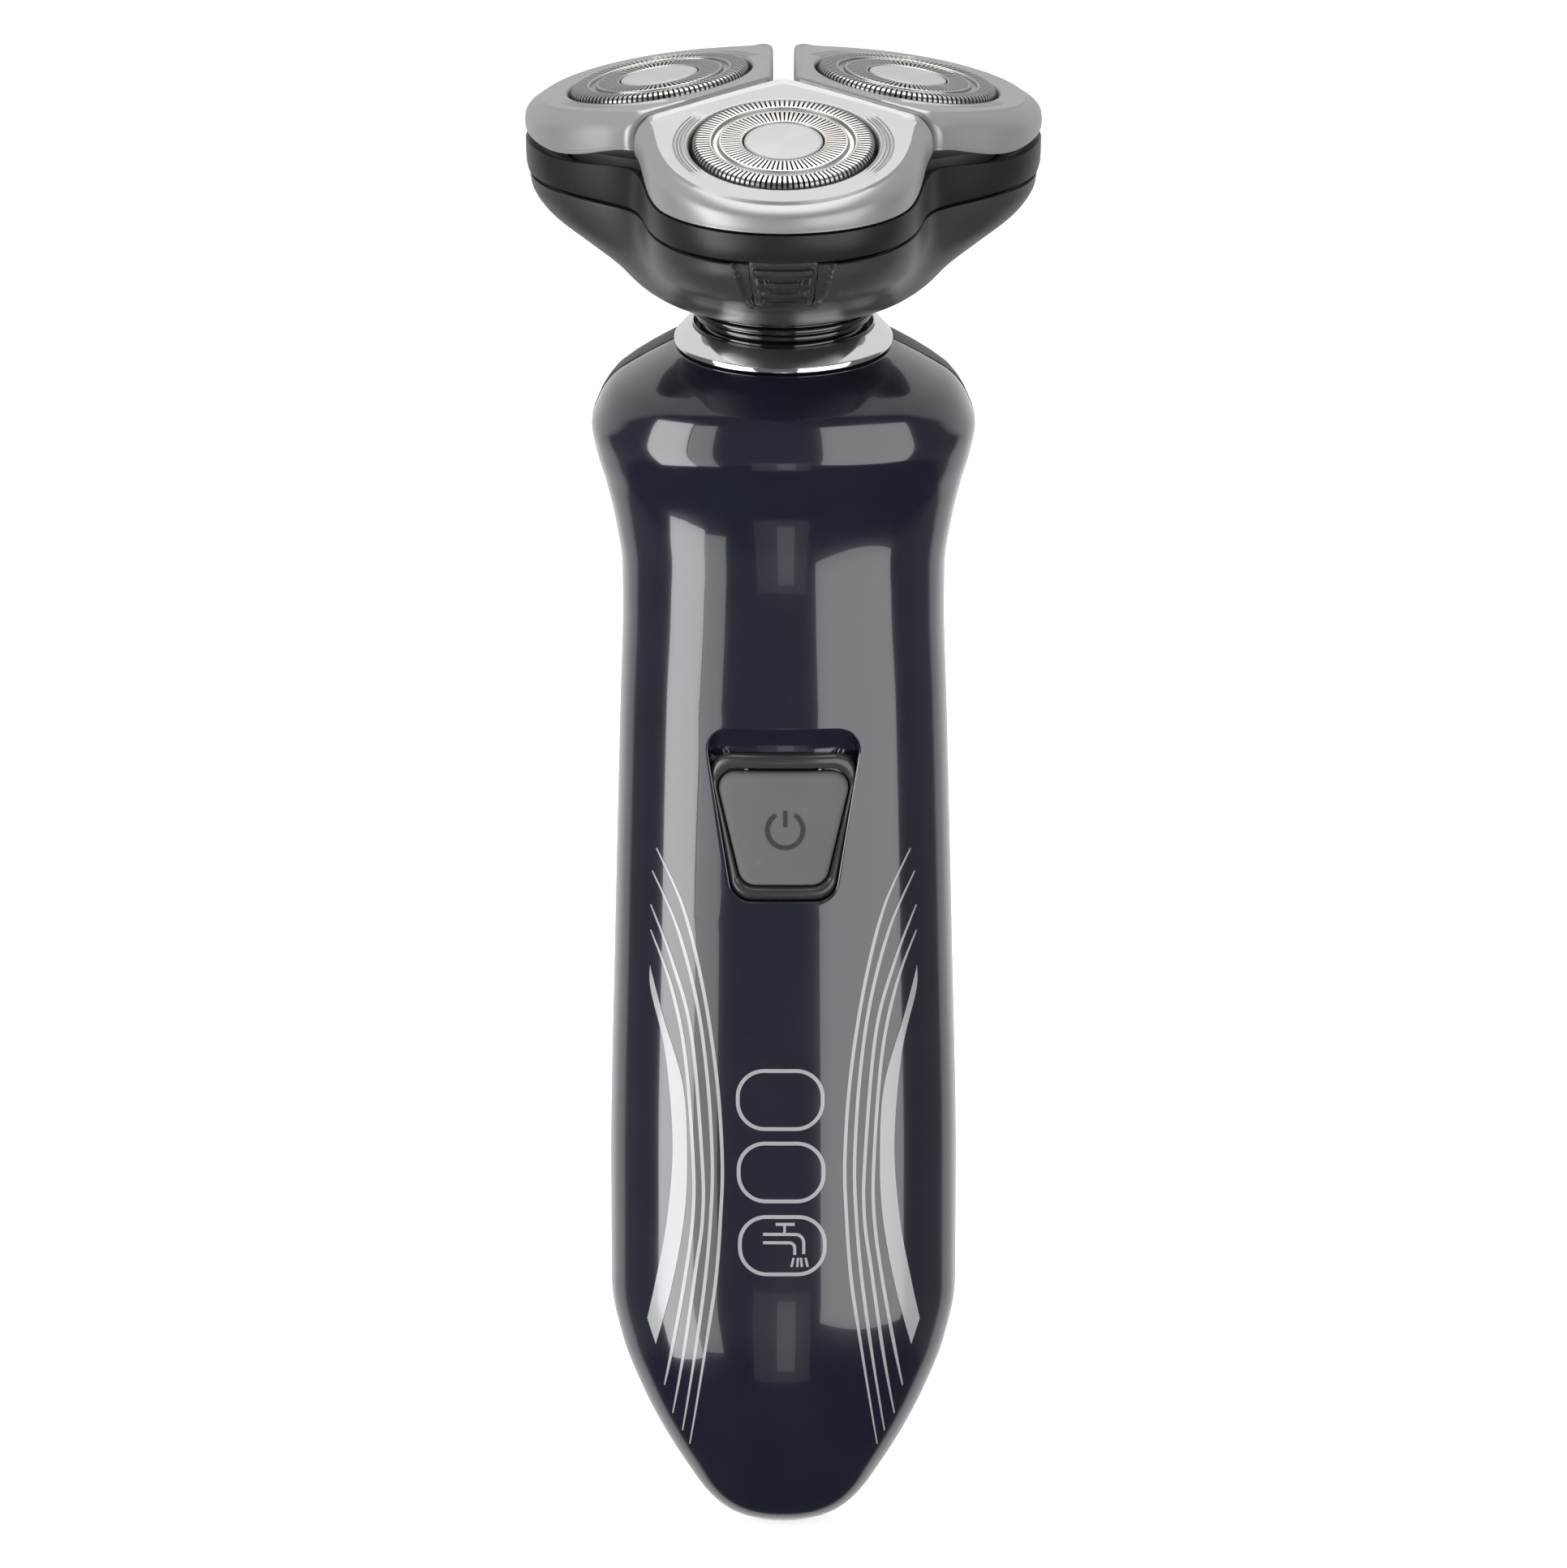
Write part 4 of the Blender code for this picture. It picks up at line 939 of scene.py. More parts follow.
def indicators():
    """Outlines of the three indicator windows and a tap symbol in the lowest."""
    half_width, half_height = WINDOW_HALF
    corners = trapezoid(half_width, half_width, -half_height, half_height)
    outline = dense(rounded_arcs(corners, 3.1, 12), 0.6)
    for number, (x, along) in enumerate(WINDOW_CENTRES, 1):
        path = [(x + a, along + b) for a, b in outline]
        ink_piece(f"window_outline_{number}", [ribbon(path, 0.44, INK_LIFT, INK_DEPTH, True)])
    upper = [(-2.25, 1.35), (1.0, 1.35)] + arc((1.5, 0.35), 1.0, 90.0, 0.0, 8)[1:] + [(2.5, -1.0)]
    lower = [(-2.25, 0.35), (0.75, 0.35)] + arc((0.8, -0.3), 0.65, 90.0, 0.0, 8)[1:] + [(1.45, -1.1)]
    strokes = [(upper, 0.36), (lower, 0.36), ([(0.27, 2.5), (0.27, 1.45)], 0.3),
               ([(-0.78, 2.55), (0.35, 2.55), (1.45, 2.55)], 0.36)]
    for top, foot in ((1.32, 1.07), (1.83, 1.74), (2.17, 2.29), (2.71, 2.96)):
        strokes.append(([(top, -1.45), (foot, -2.55)], 0.27))
    x, along = WINDOW_CENTRES[-1]
    ink_piece("tap_symbol", [ribbon([(x + a, along + b) for a, b in points], width, INK_LIFT,
                                    INK_DEPTH) for points, width in strokes])


# ---------------------------------------------------------------- inlet and neck

def stadium(half_length, half_width, steps=14):
    """Slot outline along X."""
    reach = half_length - half_width
    right = arc((reach, 0.0), half_width, -90.0, 90.0, steps)
    return right + arc((-reach, 0.0), half_width, 90.0, 270.0, steps)


def charging_inlet():
    """Socket block with a rolled mouth and a recess for the plug."""
    sizes = ((4.6, 2.65, -7.4), (4.75, 2.8, -7.2), (4.75, 2.8, 0.0), (4.68, 2.73, 0.16),
             (4.5, 2.55, 0.2), (4.15, 2.25, 0.18), (3.98, 2.08, 0.05), (3.9, 2.0, -0.2),
             (3.9, 2.0, -5.4), (3.7, 1.8, -5.6))
    rows = [[(x, y, height) for x, y in stadium(length, width)] for length, width, height in sizes]
    build("charging_inlet_socket", grid(rows, around=True, ends=True), "grip", "black_satin",
          "charging_inlet", matrix=INLET)


def neck():
    """Chrome collar and four gloss rings."""
    collar = soften([(12.1, 0.0), (12.8, 0.0), (12.72, 0.55), (10.95, 2.5), (10.45, 2.55),
                     (10.35, 0.0), (10.7, 0.0), (10.7, 0.95), (12.1, 0.95)], 0.22, 5)
    build("neck_collar_cone", lathe(collar, 160), "grip", "chrome", "neck_collar", matrix=HEAD)
    for number, (foot, top, radius) in enumerate(NECK_RINGS, 1):
        middle = 0.5 * (foot + top)
        half = 0.5 * (top - foot)
        edge = [(radius - half * 0.8 * (1.0 - math.cos(a)), middle + half * math.sin(a))
                for a in spread(-0.5 * PI, 0.5 * PI, 14)]
        bore = [(RING_BORE + 0.1, top), (RING_BORE, top - 0.1), (RING_BORE, foot + 0.1),
                (RING_BORE + 0.1, foot)]
        node = f"neck_ring_{number}"
        build(f"{node}_band", lathe(edge + bore, 160), node, "black_gloss", node,
              matrix=HEAD, sharp=50.0)


# ---------------------------------------------------------------- head shells

def trefoil(angle):
    """Radius of the head's outline at an angle from the front."""
    return 26.9 + 5.95 * math.cos(3.0 * angle) - 0.62 * math.cos(6.0 * angle)


def crest(angle):
    """How far an angle is between two lobes, 0 to 1."""
    return max(0.0, -math.cos(3.0 * angle)) ** 2


def lobed(half_width, share, angle):
    """Radius of an outline between a circle and the trefoil."""
    return half_width * (1.0 - share + share * trefoil(angle) / NOMINAL_RADIUS)


def head_point(angle, half_width, share, height, slope=0.0, rise=0.0):
    """Point of a ring between a circle and the trefoil."""
    radius = lobed(half_width, share, angle)
    y = -radius * math.cos(angle)
    return (radius * math.sin(angle), y, height + slope * y + rise * crest(angle))


def base_size(height):
    """Half width and trefoil share of the lower shell, smoothly through its sections."""
    def slope(column, row):
        low = BASE_SECTIONS[max(row - 1, 0)]
        high = BASE_SECTIONS[min(row + 1, len(BASE_SECTIONS) - 1)]
        return (high[column] - low[column]) / (high[0] - low[0])

    return between_sections(BASE_SECTIONS, height, slope)


RELEASE_WELL = trapezoid(4.5, 3.4, 12.2, 24.0)
RELEASE_SCOOP = trapezoid(6.7, 3.7, 11.8, 21.0)
RELEASE_PAD = trapezoid(4.2, 3.1, 12.5, 19.1)
RELEASE_REACH = 9.0
RELEASE_CORNER = 0.9
RELEASE_RIB = 17.6
RELEASE_RIB_PITCH = 1.25
RELEASE_RIB_HEIGHT = 0.42
SCOOP_DEPTH = 0.7
WELL_DEPTH = 1.6


def release_sink(x, height):
    """Depth of the well and of the shallow scoop round the release button."""
    scoop = SCOOP_DEPTH * ramp(0.1, -0.3, inside(RELEASE_SCOOP, 1.0, x, height))
    well = WELL_DEPTH * ramp(0.1, -0.15, inside(RELEASE_WELL, 0.8, x, height))
    return max(scoop, well)


def base_skin(angle, height, sink=0.0):
    """Point of the lower shell's skin, sunk by a depth."""
    half_width, share = base_size(height)
    tilt = max(0.0, (height - TILT_START) / (SEAM_HEIGHT - TILT_START))
    return head_point(angle, half_width - sink, share, height, SEAM_SLOPE * tilt)


def front_sink(angle, height):
    """Depth of the release button's surroundings at a point of the lower shell."""
    x, y, _ = base_skin(angle, height)
    return release_sink(x, height) if abs(x) < RELEASE_REACH and y < 0.0 else 0.0


# half width and height round the lip that closes the seam from inside
LIP_PROFILE = ((26.3, 16.9), (27.0, 16.9), (27.15, 18.0), (27.15, 19.05), (26.95, 19.2), (26.3, 19.2))


def release_columns():
    """Angles round the head, finer at the front."""
    fine = math.radians(16.0)
    return spread(-fine, fine, 96)[:-1] + spread(fine, 2.0 * PI - fine, 150)[:-1]


def knuckle_mesh(centre_x, half_length, arm_low, arm_high, reach):
    """Hinge barrel with a rounded arm."""
    barrel = arc((HINGE_Y, HINGE_Z), 1.7, -90.0, 90.0, 18)
    outline = barrel + [(HINGE_Y - 1.0, arm_high), (reach, arm_high), (reach, arm_low),
                        (HINGE_Y - 1.0, arm_low)]
    middle = Vector((HINGE_Y - 1.5, 0.5 * (arm_low + arm_high)))
    rows = []
    for x, inset in ((-half_length, 0.25), (-half_length + 0.12, 0.08), (-half_length + 0.3, 0.0),
                     (half_length - 0.3, 0.0), (half_length - 0.12, 0.08), (half_length, 0.25)):
        row = []
        for point in outline:
            away = Vector(point) - middle
            row.append((centre_x + x, *(middle + away * (1.0 - inset / away.length))))
        rows.append(row)
    return grid(rows, around=True, ends=True)


def head_base():
    """Lower shell with the release button's well, the neck hub, a lip and two hinge ears."""
    angles = release_columns()
    rows = [[head_point(a, radius, 0.0, height) for a in angles]
            for radius, height in ((7.4, 6.3), (9.0, 6.3), (11.0, 6.3), (12.6, 6.32), (13.0, 6.4))]
    for height in stations(((6.5, 11.4, 0.35), (11.4, SEAM_HEIGHT - 0.16, 0.22))):
        rows.append([base_skin(a, height, front_sink(a, height)) for a in angles])
    rows.append([base_skin(a, SEAM_HEIGHT, 0.16 + front_sink(a, SEAM_HEIGHT)) for a in angles])
    build("head_base_shell", grid(rows, around=True), "head", "charcoal", "head_base",
          matrix=HEAD, wall=1.3)
    hub = lathe(soften([(5.6, 2.9), (7.0, 2.9), (7.0, 6.6), (7.6, 7.2), (5.6, 7.2)], 0.3), 96)
    ears = [knuckle_mesh(side * 5.5, 1.3, 15.2, 17.4, 19.0) for side in (-1.0, 1.0)]
    lip = [[head_point(a, half_width, 1.0, height) for a in whole_turn(150)]
           for half_width, height in LIP_PROFILE]
    build("head_base_hub", merged([hub, grid(lip, around=True, up=True)] + ears), "head",
          "charcoal", matrix=HEAD)


def release_button():
    """Latch button with raised ribs and softened sides."""
    outline = dense(rounded_arcs(RELEASE_PAD, RELEASE_CORNER, 8), 0.4)
    centre = Vector((0.0, 16.0))

    def bearing(x, height):
        angle = math.asin(x / 28.0)
        for _ in range(3):
            angle = math.asin(x / lobed(*base_size(height), angle))
        return angle

    def level(share, lift, ribbed=False):
        row = []
        for point in outline:
            x, z = centre.lerp(Vector(point), share)
            rib = 0.0
            if ribbed:
                wave = math.cos(2.0 * PI * (z - RELEASE_RIB) / RELEASE_RIB_PITCH)
                rib = RELEASE_RIB_HEIGHT * ramp(-0.5, 0.35, wave)
                rib *= ramp(18.6, 18.0, z) * ramp(13.0, 13.6, z)
                rib *= ramp(-0.3, -0.8, inside(RELEASE_PAD, RELEASE_CORNER, x, z))
            height = min(z, SEAM_HEIGHT)
            px, py, pz = base_skin(bearing(x, height), height, -(lift + rib))
            row.append((px, py, pz + z - height))
        return row

    rows = [level(share, lift)
            for share, lift in ((0.97, -1.4), (1.0, -0.5), (0.985, -0.3), (0.95, -0.2))]
    rows += [level(share, -0.18, True) for share in spread(0.92, 0.03, 44)]
    build("release_button_pad", grid(rows, around=True, ends=True), "release_button",
          "black_satin", "release_button", matrix=HEAD)


# ---------------------------------------------------------------- shaving unit's rim

def cut(piece, tool):
    """Cut a tool's shape out of a piece and remove the tool."""
    modifier = piece.modifiers.new("cut", "BOOLEAN")
    modifier.operation = "DIFFERENCE"
    modifier.solver = "EXACT"
    modifier.object = tool
    whole = piece.data
    depsgraph = bpy.context.evaluated_depsgraph_get()
    piece.data = bpy.data.meshes.new_from_object(piece.evaluated_get(depsgraph))
    piece.modifiers.clear()
    bpy.data.objects.remove(tool)
    bpy.data.meshes.remove(whole)
    piece.data.name = piece.name


def head_rim():
    """Frame of the shaving unit with three pod bores, and its knuckle."""
    foot = SEAM_HEIGHT + GAP
    profile = (
        (27.6, PLATE_FOOT, 0.0, 0.0),
        (27.6, foot + 0.1, SEAM_SLOPE, 0.0),
        (28.9, foot, SEAM_SLOPE, 0.0),
        (29.4, foot + 0.06, SEAM_SLOPE, 0.0),
        (29.68, foot + 0.22, SEAM_SLOPE, 0.0),
        (29.85, foot + 0.9, SEAM_SLOPE, 0.0),
        (29.93, 20.6, EDGE_SLOPE, 0.3 * RIM_RISE),
        (29.95, RIM_TOP - 0.1, EDGE_SLOPE, RIM_RISE),
        (29.9, RIM_TOP + 0.06, EDGE_SLOPE, RIM_RISE),
        (29.75, RIM_TOP + 0.1, EDGE_SLOPE, RIM_RISE),
        (28.4, RIM_TOP, EDGE_SLOPE, RIM_RISE),
        (28.0, RIM_TOP - 0.2, EDGE_SLOPE, RIM_RISE),
        (27.9, PLATE_TOP, 0.0, 0.0),
    )
    rows = [[head_point(a, half_width, 1.0, height, slope, rise) for a in whole_turn(180)]
            for half_width, height, slope, rise in profile]
    rim = make("head_rim_frame", *grid(rows, around=True, ends=True), matrix=HEAD)
    for angle in POD_ANGLES:
        bore = drum(RIM_BORE, -16.0, -3.0, 0.05, 96)
        cut(rim, make("bore", *bore, matrix=pod_frame(angle)))
    rim.data.shade_smooth()
    rim.data.set_sharp_from_angle(angle=math.radians(35.0))
    dress(rim, "shaving_unit", "charcoal", "head_rim", look="rim")
    build("head_rim_knuckle", knuckle_mesh(0.0, 3.8, 18.55, 20.1, 22.0), "shaving_unit",
          "charcoal", matrix=HEAD)


# ---------------------------------------------------------------- petals

def seam_corner(gap_right, gap_left):
    """Inner corner of a petal between its two seam lines."""
    sine, cosine = math.sin(PI / 3.0), math.cos(PI / 3.0)
    y = -(gap_right + gap_left) / (2.0 * sine)
    x = (gap_left - gap_right) / (2.0 * cosine)
    return Vector((x, y))


def petal_outline(inset, gap_right, gap_left):
    """Outline of the front petal, anticlockwise from its inner corner, with bent corners."""
    reach = trefoil(PI / 3.0) - inset
    apex = seam_corner(gap_right, gap_left)

    def rim(angle):
        radius = trefoil(angle) - inset
        return Vector((radius * math.sin(angle), -radius * math.cos(angle)))

    def seam(side, gap):
        """Seam's ends near the apex and at the rim, its corner, and the rim's angle there."""
        angle = side * (PI / 3.0 - math.asin(gap / reach))
        corner = rim(angle)
        along = (apex - corner).normalized()
        return (apex - along * 0.9, corner + along * PETAL_CORNER, corner,
                angle - side * PETAL_CORNER / reach)

    near_right, inner_right, corner_right, right = seam(1.0, gap_right)
    near_left, inner_left, corner_left, left = seam(-1.0, gap_left)
    steps = spread(0.0, 1.0, 34)
    outline = [near_right.lerp(inner_right, t) for t in steps[:-1]]
    outline += bend(inner_right, corner_right, rim(right), 8)
    outline += [rim(angle) for angle in spread(right, left, 110)[1:-1]]
    outline += bend(rim(left), corner_left, inner_left, 8)
    outline += [inner_left.lerp(near_left, t) for t in steps[1:]]
    outline += bend(near_left, apex, near_right, 8)[1:-1]
    return outline


def top_plane(y):
    """Height of the petal's top plane over the head frame."""
    return POD_HEIGHT - 0.5 / math.cos(POD_LEAN) + math.tan(POD_LEAN) * (y + POD_RADIUS)


ARC_GROOVES = (11.35, 11.75, 12.15, 12.55)
# from the top down: share of the height, inset of the rim, inset of the seams and lip at the seams
PETAL_LEVELS = (
    (1.0, 2.1, 0.95, 0.0), (1.0, 1.95, 0.62, 0.16), (0.995, 1.8, 0.4, 0.2), (0.975, 1.6, 0.16, 0.12),
    (0.93, 1.3, 0.03, 0.0), (0.84, 0.85, 0.0, 0.0), (0.74, 0.48, 0.0, 0.0), (0.62, 0.2, 0.0, 0.0),
    (0.5, 0.05, 0.0, 0.0), (0.35, 0.0, 0.0, 0.0), (0.16, 0.0, 0.0, 0.0), (0.1, 0.03, 0.0, 0.0),
    (0.085, 0.12, 0.04, 0.0), (0.03, 0.12, 0.04, 0.0), (0.0, 0.22, 0.1, 0.0), (0.0, 1.3, 0.8, 0.0),
)


def groove_depth(radius, angle):
    """Depth of the short concentric grooves at both sides of a cutter."""
    depth = max(0.1 * ramp(0.13, 0.03, abs(radius - centre)) for centre in ARC_GROOVES)
    return depth * ramp(0.78, 0.86, abs(math.cos(angle)))


def petal_foot(point):
    """Height of a petal's foot over a plan point, rising between the lobes."""
    rise = PETAL_RISE * crest(math.atan2(point.x, -point.y)) * min(1.0, point.length / 17.0)
    return PETAL_FOOT + EDGE_SLOPE * point.y + rise


def seam_distance(point, side, gap):
    """Distance of a plan point from the petal's seam on one side."""
    return abs(side * point.x * math.cos(PI / 3.0) + point.y * math.sin(PI / 3.0)) - gap


def petal_mesh(gap_right, gap_left):
    """Closed mesh of the front petal, in the head frame."""
    outlines = [petal_outline(inset, gap_right + side, gap_left + side)
                for _, inset, side, _ in PETAL_LEVELS]
    base = petal_outline(0.0, gap_right, gap_left)
    bearings = []
    for point in base:
        local = POD.inverted() @ (Vector((point.x, point.y, top_plane(point.y))) * MM)
        bearings.append(math.atan2(local.y, local.x))

    def pod_ring(radius, height_at):
        row = []
        for bearing in bearings:
            local = Vector((radius * math.cos(bearing), radius * math.sin(bearing),
                            height_at(bearing)))
            row.append(tuple((POD @ (local * MM)) / MM))
        return row

    def circle(radius, height, grooved=False):
        return pod_ring(radius, lambda bearing: height
                        - (groove_depth(radius, bearing) if grooved else 0.0))

    def skirt(radius, level):
        return pod_ring(radius, lambda bearing: (level - POD_HEIGHT - radius * math.sin(bearing)
                                                 * math.sin(POD_LEAN)) / math.cos(POD_LEAN))

    rows = [circle(POD_BORE, -1.3), circle(POD_BORE + 0.03, -0.85), circle(POD_BORE + 0.15, -0.6),
            circle(POD_BORE + 0.32, -0.51)]
    radius = POD_BORE + 0.42
    while radius < GROOVES_END:
        rows.append(circle(radius, -0.5, True))
        radius += 0.085
    inner = circle(GROOVES_END, -0.5)
    rows.append(inner)
    rings = []
    for (share, _, _, lip), outline in zip(PETAL_LEVELS, outlines):
        ring = []
        for point, under in zip(outline, base):
            foot = petal_foot(under)
            height = foot + share * (top_plane(under.y) - foot)
            if share == 1.0:
                height = top_plane(point.y)
            seam = min(seam_distance(point, 1.0, gap_right), seam_distance(point, -1.0, gap_left))
            ring.append((point.x, point.y, height + lip * ramp(2.6, 1.2, seam)))
        rings.append(ring)
    for t in spread(0.0, 1.0, 7)[1:-1]:
        rows.append([blend(a, b, t) for a, b in zip(inner, rings[0])])
    rows += rings
    rows += [skirt(SKIRT_RADIUS, PETAL_FOOT + 0.3), skirt(SKIRT_RADIUS, SKIRT_FOOT + 0.15),
             skirt(SKIRT_RADIUS - 0.15, SKIRT_FOOT), skirt(POD_BORE + 0.1, SKIRT_FOOT),
             skirt(POD_BORE, SKIRT_FOOT + 0.1)]
    return grid(rows, around=True, up=True)


def petals():
    """Three petals; the two rear ones leave a wider slot between them."""
    gaps = ((SEAM_SIDE, SEAM_SIDE), (REAR_SEAM_SIDE, SEAM_SIDE), (SEAM_SIDE, REAR_SEAM_SIDE))
    for number, (angle, (right, left)) in enumerate(zip(POD_ANGLES, gaps), 1):
        node = f"petal_{number}"
        build(f"{node}_shell", petal_mesh(right, left), node, "silver_satin", node,
              matrix=HEAD @ turn(angle, "Z"), sharp=38.0)
        stubs = []
        for low, high in ((-13.2, -11.6), (11.6, 13.2)):
            points, faces = drum(0.8, low, high, 0.15, 24, along_x=True)
            stubs.append(([(x, y, z - TILT_DEPTH) for x, y, z in points], faces))
        build(f"{node}_trunnions", merged(stubs), node, "silver_satin", matrix=pod_frame(angle))


# ---------------------------------------------------------------- cutters

OUTER_SLOTS = 104
INNER_SLOTS = 76
FOIL_WALL = 0.2


def offset_profile(outer, depth):
    """Closed strip profile: an outer line and the same line set back below it."""
    inner = []
    for index, (radius, height) in enumerate(outer):
        before = Vector(outer[max(index - 1, 0)])
        after = Vector(outer[min(index + 1, len(outer) - 1)])
        run = (after - before).normalized()
        inner.append((radius + run.y * depth, height - run.x * depth))
    return list(outer) + inner[::-1]


def bars(profile, count, share):
    """Ring of equal bars with open slots between them."""
    pitch = 2.0 * PI / count
    return [lathe(profile, 2, index * pitch, pitch * share) for index in range(count)]


def foil_caps():
    """Three caps, each with slotted tracks, and their centre discs."""
    outer_line = soften([(8.15, -0.16), (8.4, 0.0), (10.05, 0.0), (10.45, -0.42), (10.45, -1.3)],
                        0.3, 3, False)
    inner_line = soften([(4.7, -0.1), (4.95, 0.0), (7.15, 0.0), (7.42, -0.16)], 0.15, 3, False)
    seat = soften([(3.0, -1.1), (3.0, -0.75), (4.55, -0.75), (4.72, -0.05), (4.95, -0.02),
                   (4.95, -1.1)], 0.12, 3)
    groove = soften([(7.1, -0.02), (7.42, -0.05), (7.5, -0.5), (8.1, -0.5), (8.2, -0.05),
                     (8.5, -0.02), (8.5, -0.75), (7.1, -0.75)], 0.12, 3)
    band = soften([(9.9, -1.15), (10.45, -1.2), (10.45, -4.6), (9.9, -4.6)], 0.15, 4)
    disc = soften([(0.0, 0.06), (4.0, 0.06), (4.5, -0.08), (4.5, -0.42), (2.65, -0.42),
                   (2.65, -1.7), (0.0, -1.7)], 0.18, 4, False)
    cap = merged([lathe(profile, 144) for profile in (seat, groove, band)]
                 + bars(offset_profile(outer_line, FOIL_WALL), OUTER_SLOTS, 0.56)
                 + bars(offset_profile(inner_line, FOIL_WALL), INNER_SLOTS, 0.58))
    plate = grid([level_circle(max(radius, 0.01), height, 96) for radius, height in disc],
                 around=True, ends=True)
    for number, angle in enumerate(POD_ANGLES, 1):
        matrix = pod_frame(angle)
        build(f"foil_cap_{number}_slotted", cap, f"cap_{number}", "steel",
              f"foil_cap_{number}", matrix=matrix, sharp=40.0)
        build(f"cap_disc_{number}_plate", plate, f"cap_{number}", "white_satin",
              f"cap_disc_{number}", matrix=matrix)


# ---------------------------------------------------------------- carried-over CAD nodes

def dress_frame():
    """Procedural finish on every CAD node that still shows."""
    slots = {row["node"]: row["material_slot"] for row in frame["record"]["subparts"]}
    for name, node in NODES.items():
        if node.hide_render:
            continue
        node.data.materials.clear()
        node.data.materials.append(finish(slots[name]))


# ---------------------------------------------------------------- camera, floor and light

# millimetres, but for the lens and the sensor in the camera's own
TARGET_HEIGHT = 87.65
CAMERA_DISTANCE = 1200.0
CAMERA_ELEVATION = math.radians(8.0)
CAMERA_LENS = 234.4
SENSOR_WIDTH = 36.0
LIGHT_TARGET = 90.0
FLOOR_HEIGHT = -0.4
# azimuth and elevation in degrees; distance, width and height in metres; radiance
SOFTBOXES = (
    ("left_strip", 61.0, -3.0, 1.4, 0.74, 1.75, 4.9),
    ("left_edge", 38.0, -3.0, 1.4, 0.36, 1.6, 1.9),
    ("right_panel", -43.0, 0.0, 1.4, 1.5, 1.5, 2.3),
    ("low_window", 1.0, -30.0, 1.4, 0.5, 0.55, 0.25),
    ("low_window_core", -1.0, -29.0, 1.3, 0.12, 0.4, 0.6),
    ("top_box", 180.0, 82.0, 1.3, 1.0, 1.4, 3.8),
)


def camera():
    """Long lens a little above the shaver's middle, square on to its front."""
    data = bpy.data.cameras.new("camera")
    data.lens = CAMERA_LENS
    data.sensor_width = SENSOR_WIDTH
    data.clip_start = 0.05
    data.clip_end = 60.0
    rig = bpy.data.objects.new("camera", data)
    back = Vector((0.0, -math.cos(CAMERA_ELEVATION), math.sin(CAMERA_ELEVATION)))
    rig.location = (Vector((0.0, 0.0, TARGET_HEIGHT)) + back * CAMERA_DISTANCE) * MM
    rig.rotation_euler = (0.5 * PI - CAMERA_ELEVATION, 0.0, 0.0)
    bpy.context.scene.collection.objects.link(rig)
    bpy.context.scene.camera = rig


def softbox(name, azimuth, elevation, distance, width, height, radiance):
    """Rectangular light aimed at the shaver; azimuth 0 is the front, 90 degrees its left side."""
    data = bpy.data.lights.new(name, "AREA")
    data.shape = "RECTANGLE"
    data.size = width
    data.size_y = height
    data.energy = radiance * PI * width * height
    lamp = bpy.data.objects.new(name, data)
    a, e = math.radians(azimuth), math.radians(elevation)
    away = Vector((-math.sin(a) * math.cos(e), -math.cos(a) * math.cos(e), math.sin(e)))
    lamp.location = Vector((0.0, 0.0, LIGHT_TARGET)) * MM + away * distance
    lamp.rotation_euler = away.to_track_quat("Z", "Y").to_euler()
    lamp.visible_camera = False
    bpy.context.scene.collection.objects.link(lamp)


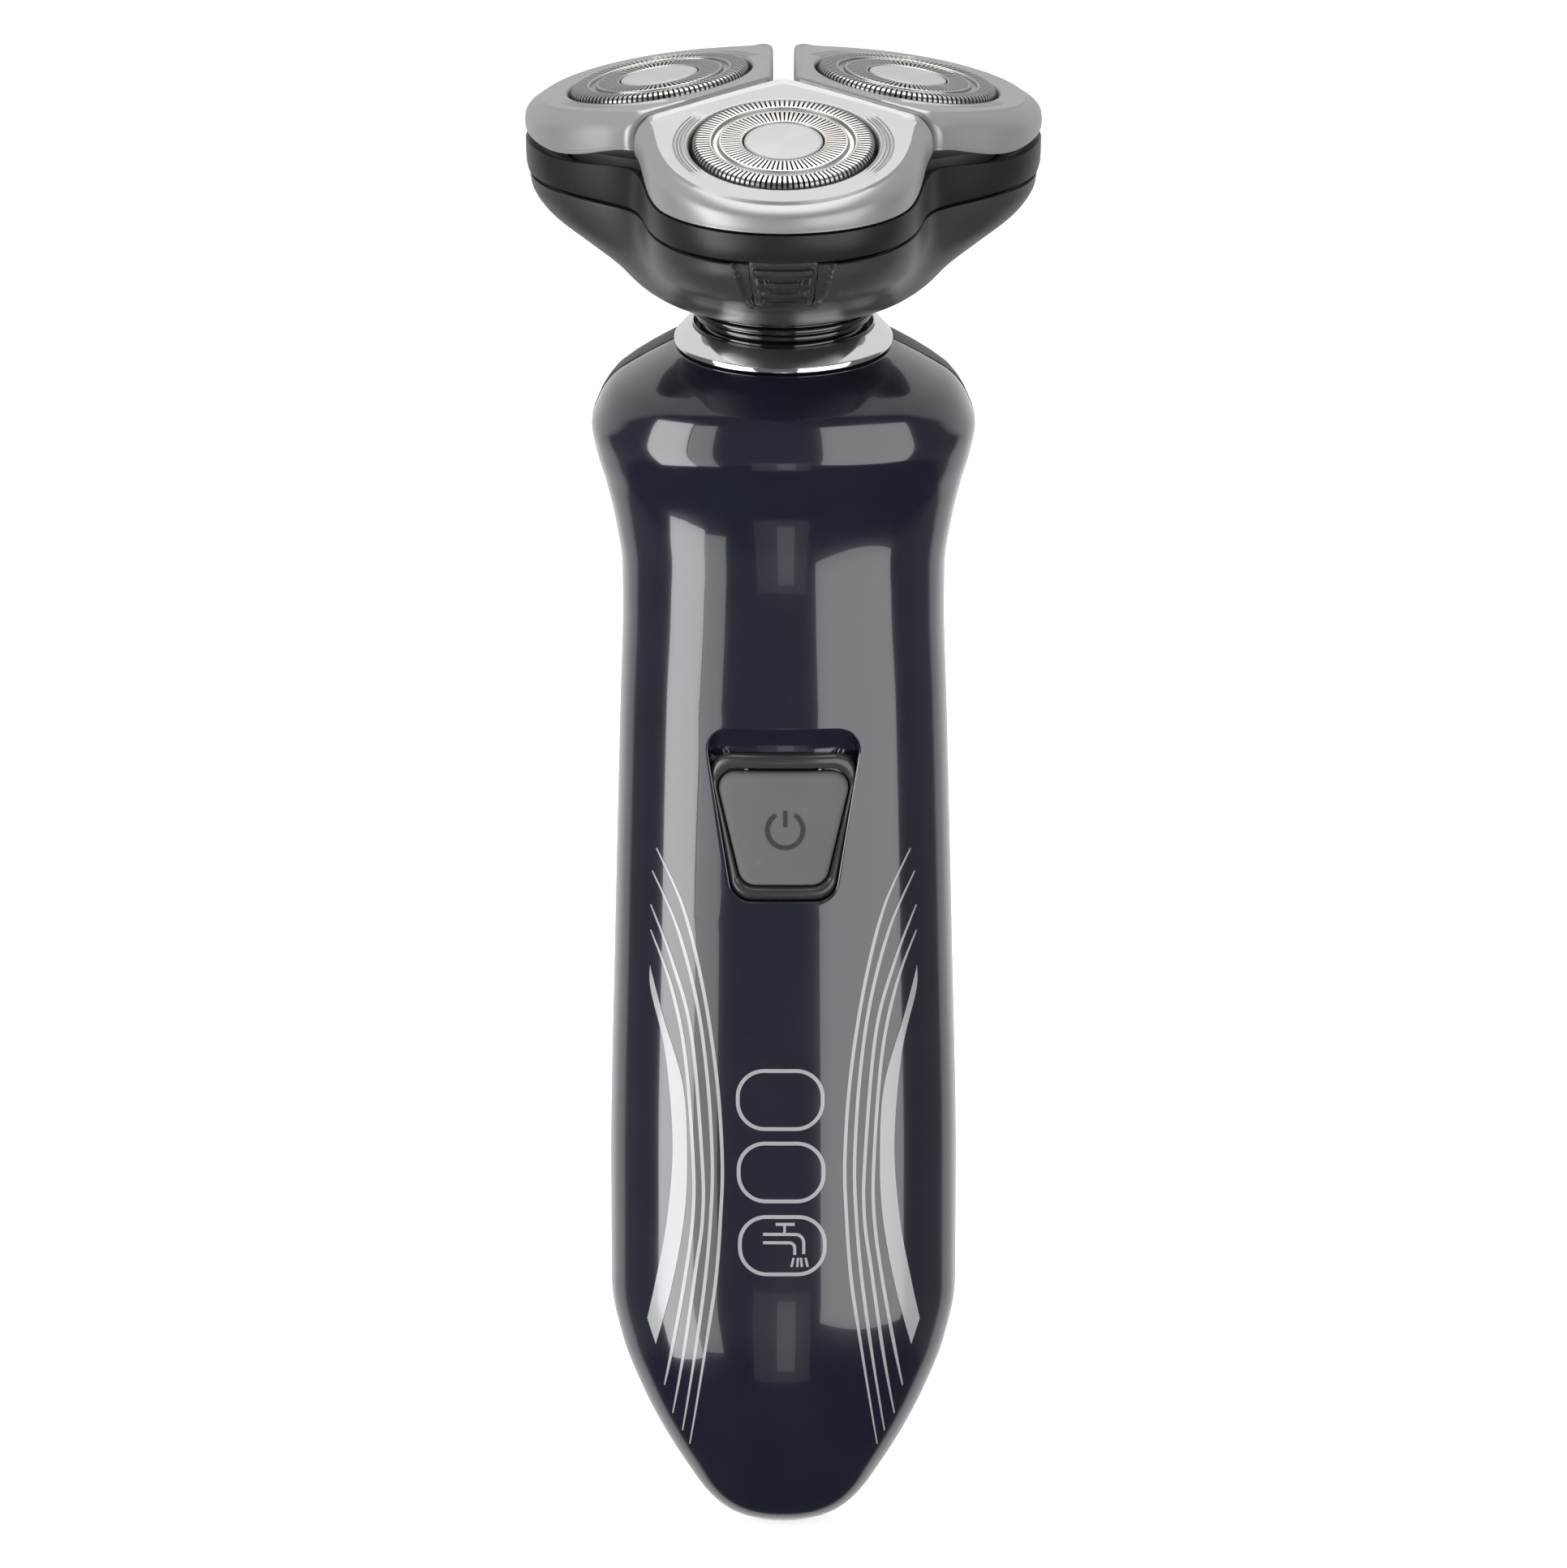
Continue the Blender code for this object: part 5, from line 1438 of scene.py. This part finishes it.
def stage_floor():
    """Pale glowing floor that pieces don't mirror: a wide ring and its middle."""
    rings = [level_circle(radius, FLOOR_HEIGHT, 96) for radius in (30.0, 400.0, 2500.0, 12000.0)]
    pale = node_material("floor", (0.9, 0.9, 0.9), 0.9, cloud=0.005, cloud_size=400.0, grain=0.0,
                         specular=0.1, wear=0.0, emission=0.85)
    for name, shape in (("floor", grid(rings, around=True)),
                        ("floor_middle", (rings[0], [tuple(range(96))]))):
        floor = make(name, *shape, closed=False)
        floor.data.materials.append(pale)
        floor.visible_glossy = False
        floor.visible_shadow = False


def surround():
    """White for the camera; for reflections a dim room that is pale behind and above."""
    world = bpy.data.worlds.new("surround")
    world.use_nodes = True
    tree = world.node_tree
    link = tree.links.new
    background = tree.nodes["Background"]
    background.inputs["Color"].default_value = (1.0, 1.0, 1.0, 1.0)
    place = add_node(tree, "TexCoord")
    split = add_node(tree, "SeparateXYZ")
    link(place.outputs["Generated"], split.inputs["Vector"])

    def fade(output, low, high, dark, pale):
        node = add_node(tree, "MapRange", From_Min=low, From_Max=high, To_Min=dark, To_Max=pale)
        node.interpolation_type = "SMOOTHSTEP"
        link(output, node.inputs["Value"])
        return node.outputs["Result"]

    def brighter(first, second):
        node = add_node(tree, "Math")
        node.operation = "MAXIMUM"
        link(first, node.inputs[0])
        link(second, node.inputs[1])
        return node.outputs["Value"]

    tilted = add_node(tree, "Math")
    tilted.operation = "MULTIPLY_ADD"
    tilted.inputs[1].default_value = 0.8
    link(split.outputs["Y"], tilted.inputs[0])
    link(split.outputs["Z"], tilted.inputs[2])
    room = brighter(fade(split.outputs["Y"], 0.46, 0.60, 0.0, 0.6),
                    fade(tilted.outputs["Value"], 0.30, 0.52, 0.0, 0.72))
    room = brighter(room, fade(split.outputs["Z"], -0.52, -0.44, 0.03, 0.14))
    rays = add_node(tree, "LightPath")
    seen = add_node(tree, "Mix")
    seen.data_type = "FLOAT"
    seen.inputs["B"].default_value = 1.0
    link(rays.outputs["Is Camera Ray"], seen.inputs["Factor"])
    link(room, seen.inputs["A"])
    link(seen.outputs["Result"], background.inputs["Strength"])
    bpy.context.scene.world = world
    bpy.context.scene.view_settings.view_transform = "Standard"


def studio():
    """Softboxes in front and above, a pale floor and a pale surround."""
    for box in SOFTBOXES:
        softbox(*box)
    stage_floor()
    surround()


# ---------------------------------------------------------------- assembly

front_cover()
rear_housing()
rear_grip()
button_bezel()
power_button()
stripes()
indicators()
charging_inlet()
neck()
head_base()
release_button()
head_rim()
petals()
foil_caps()
dress_frame()
camera()
studio()
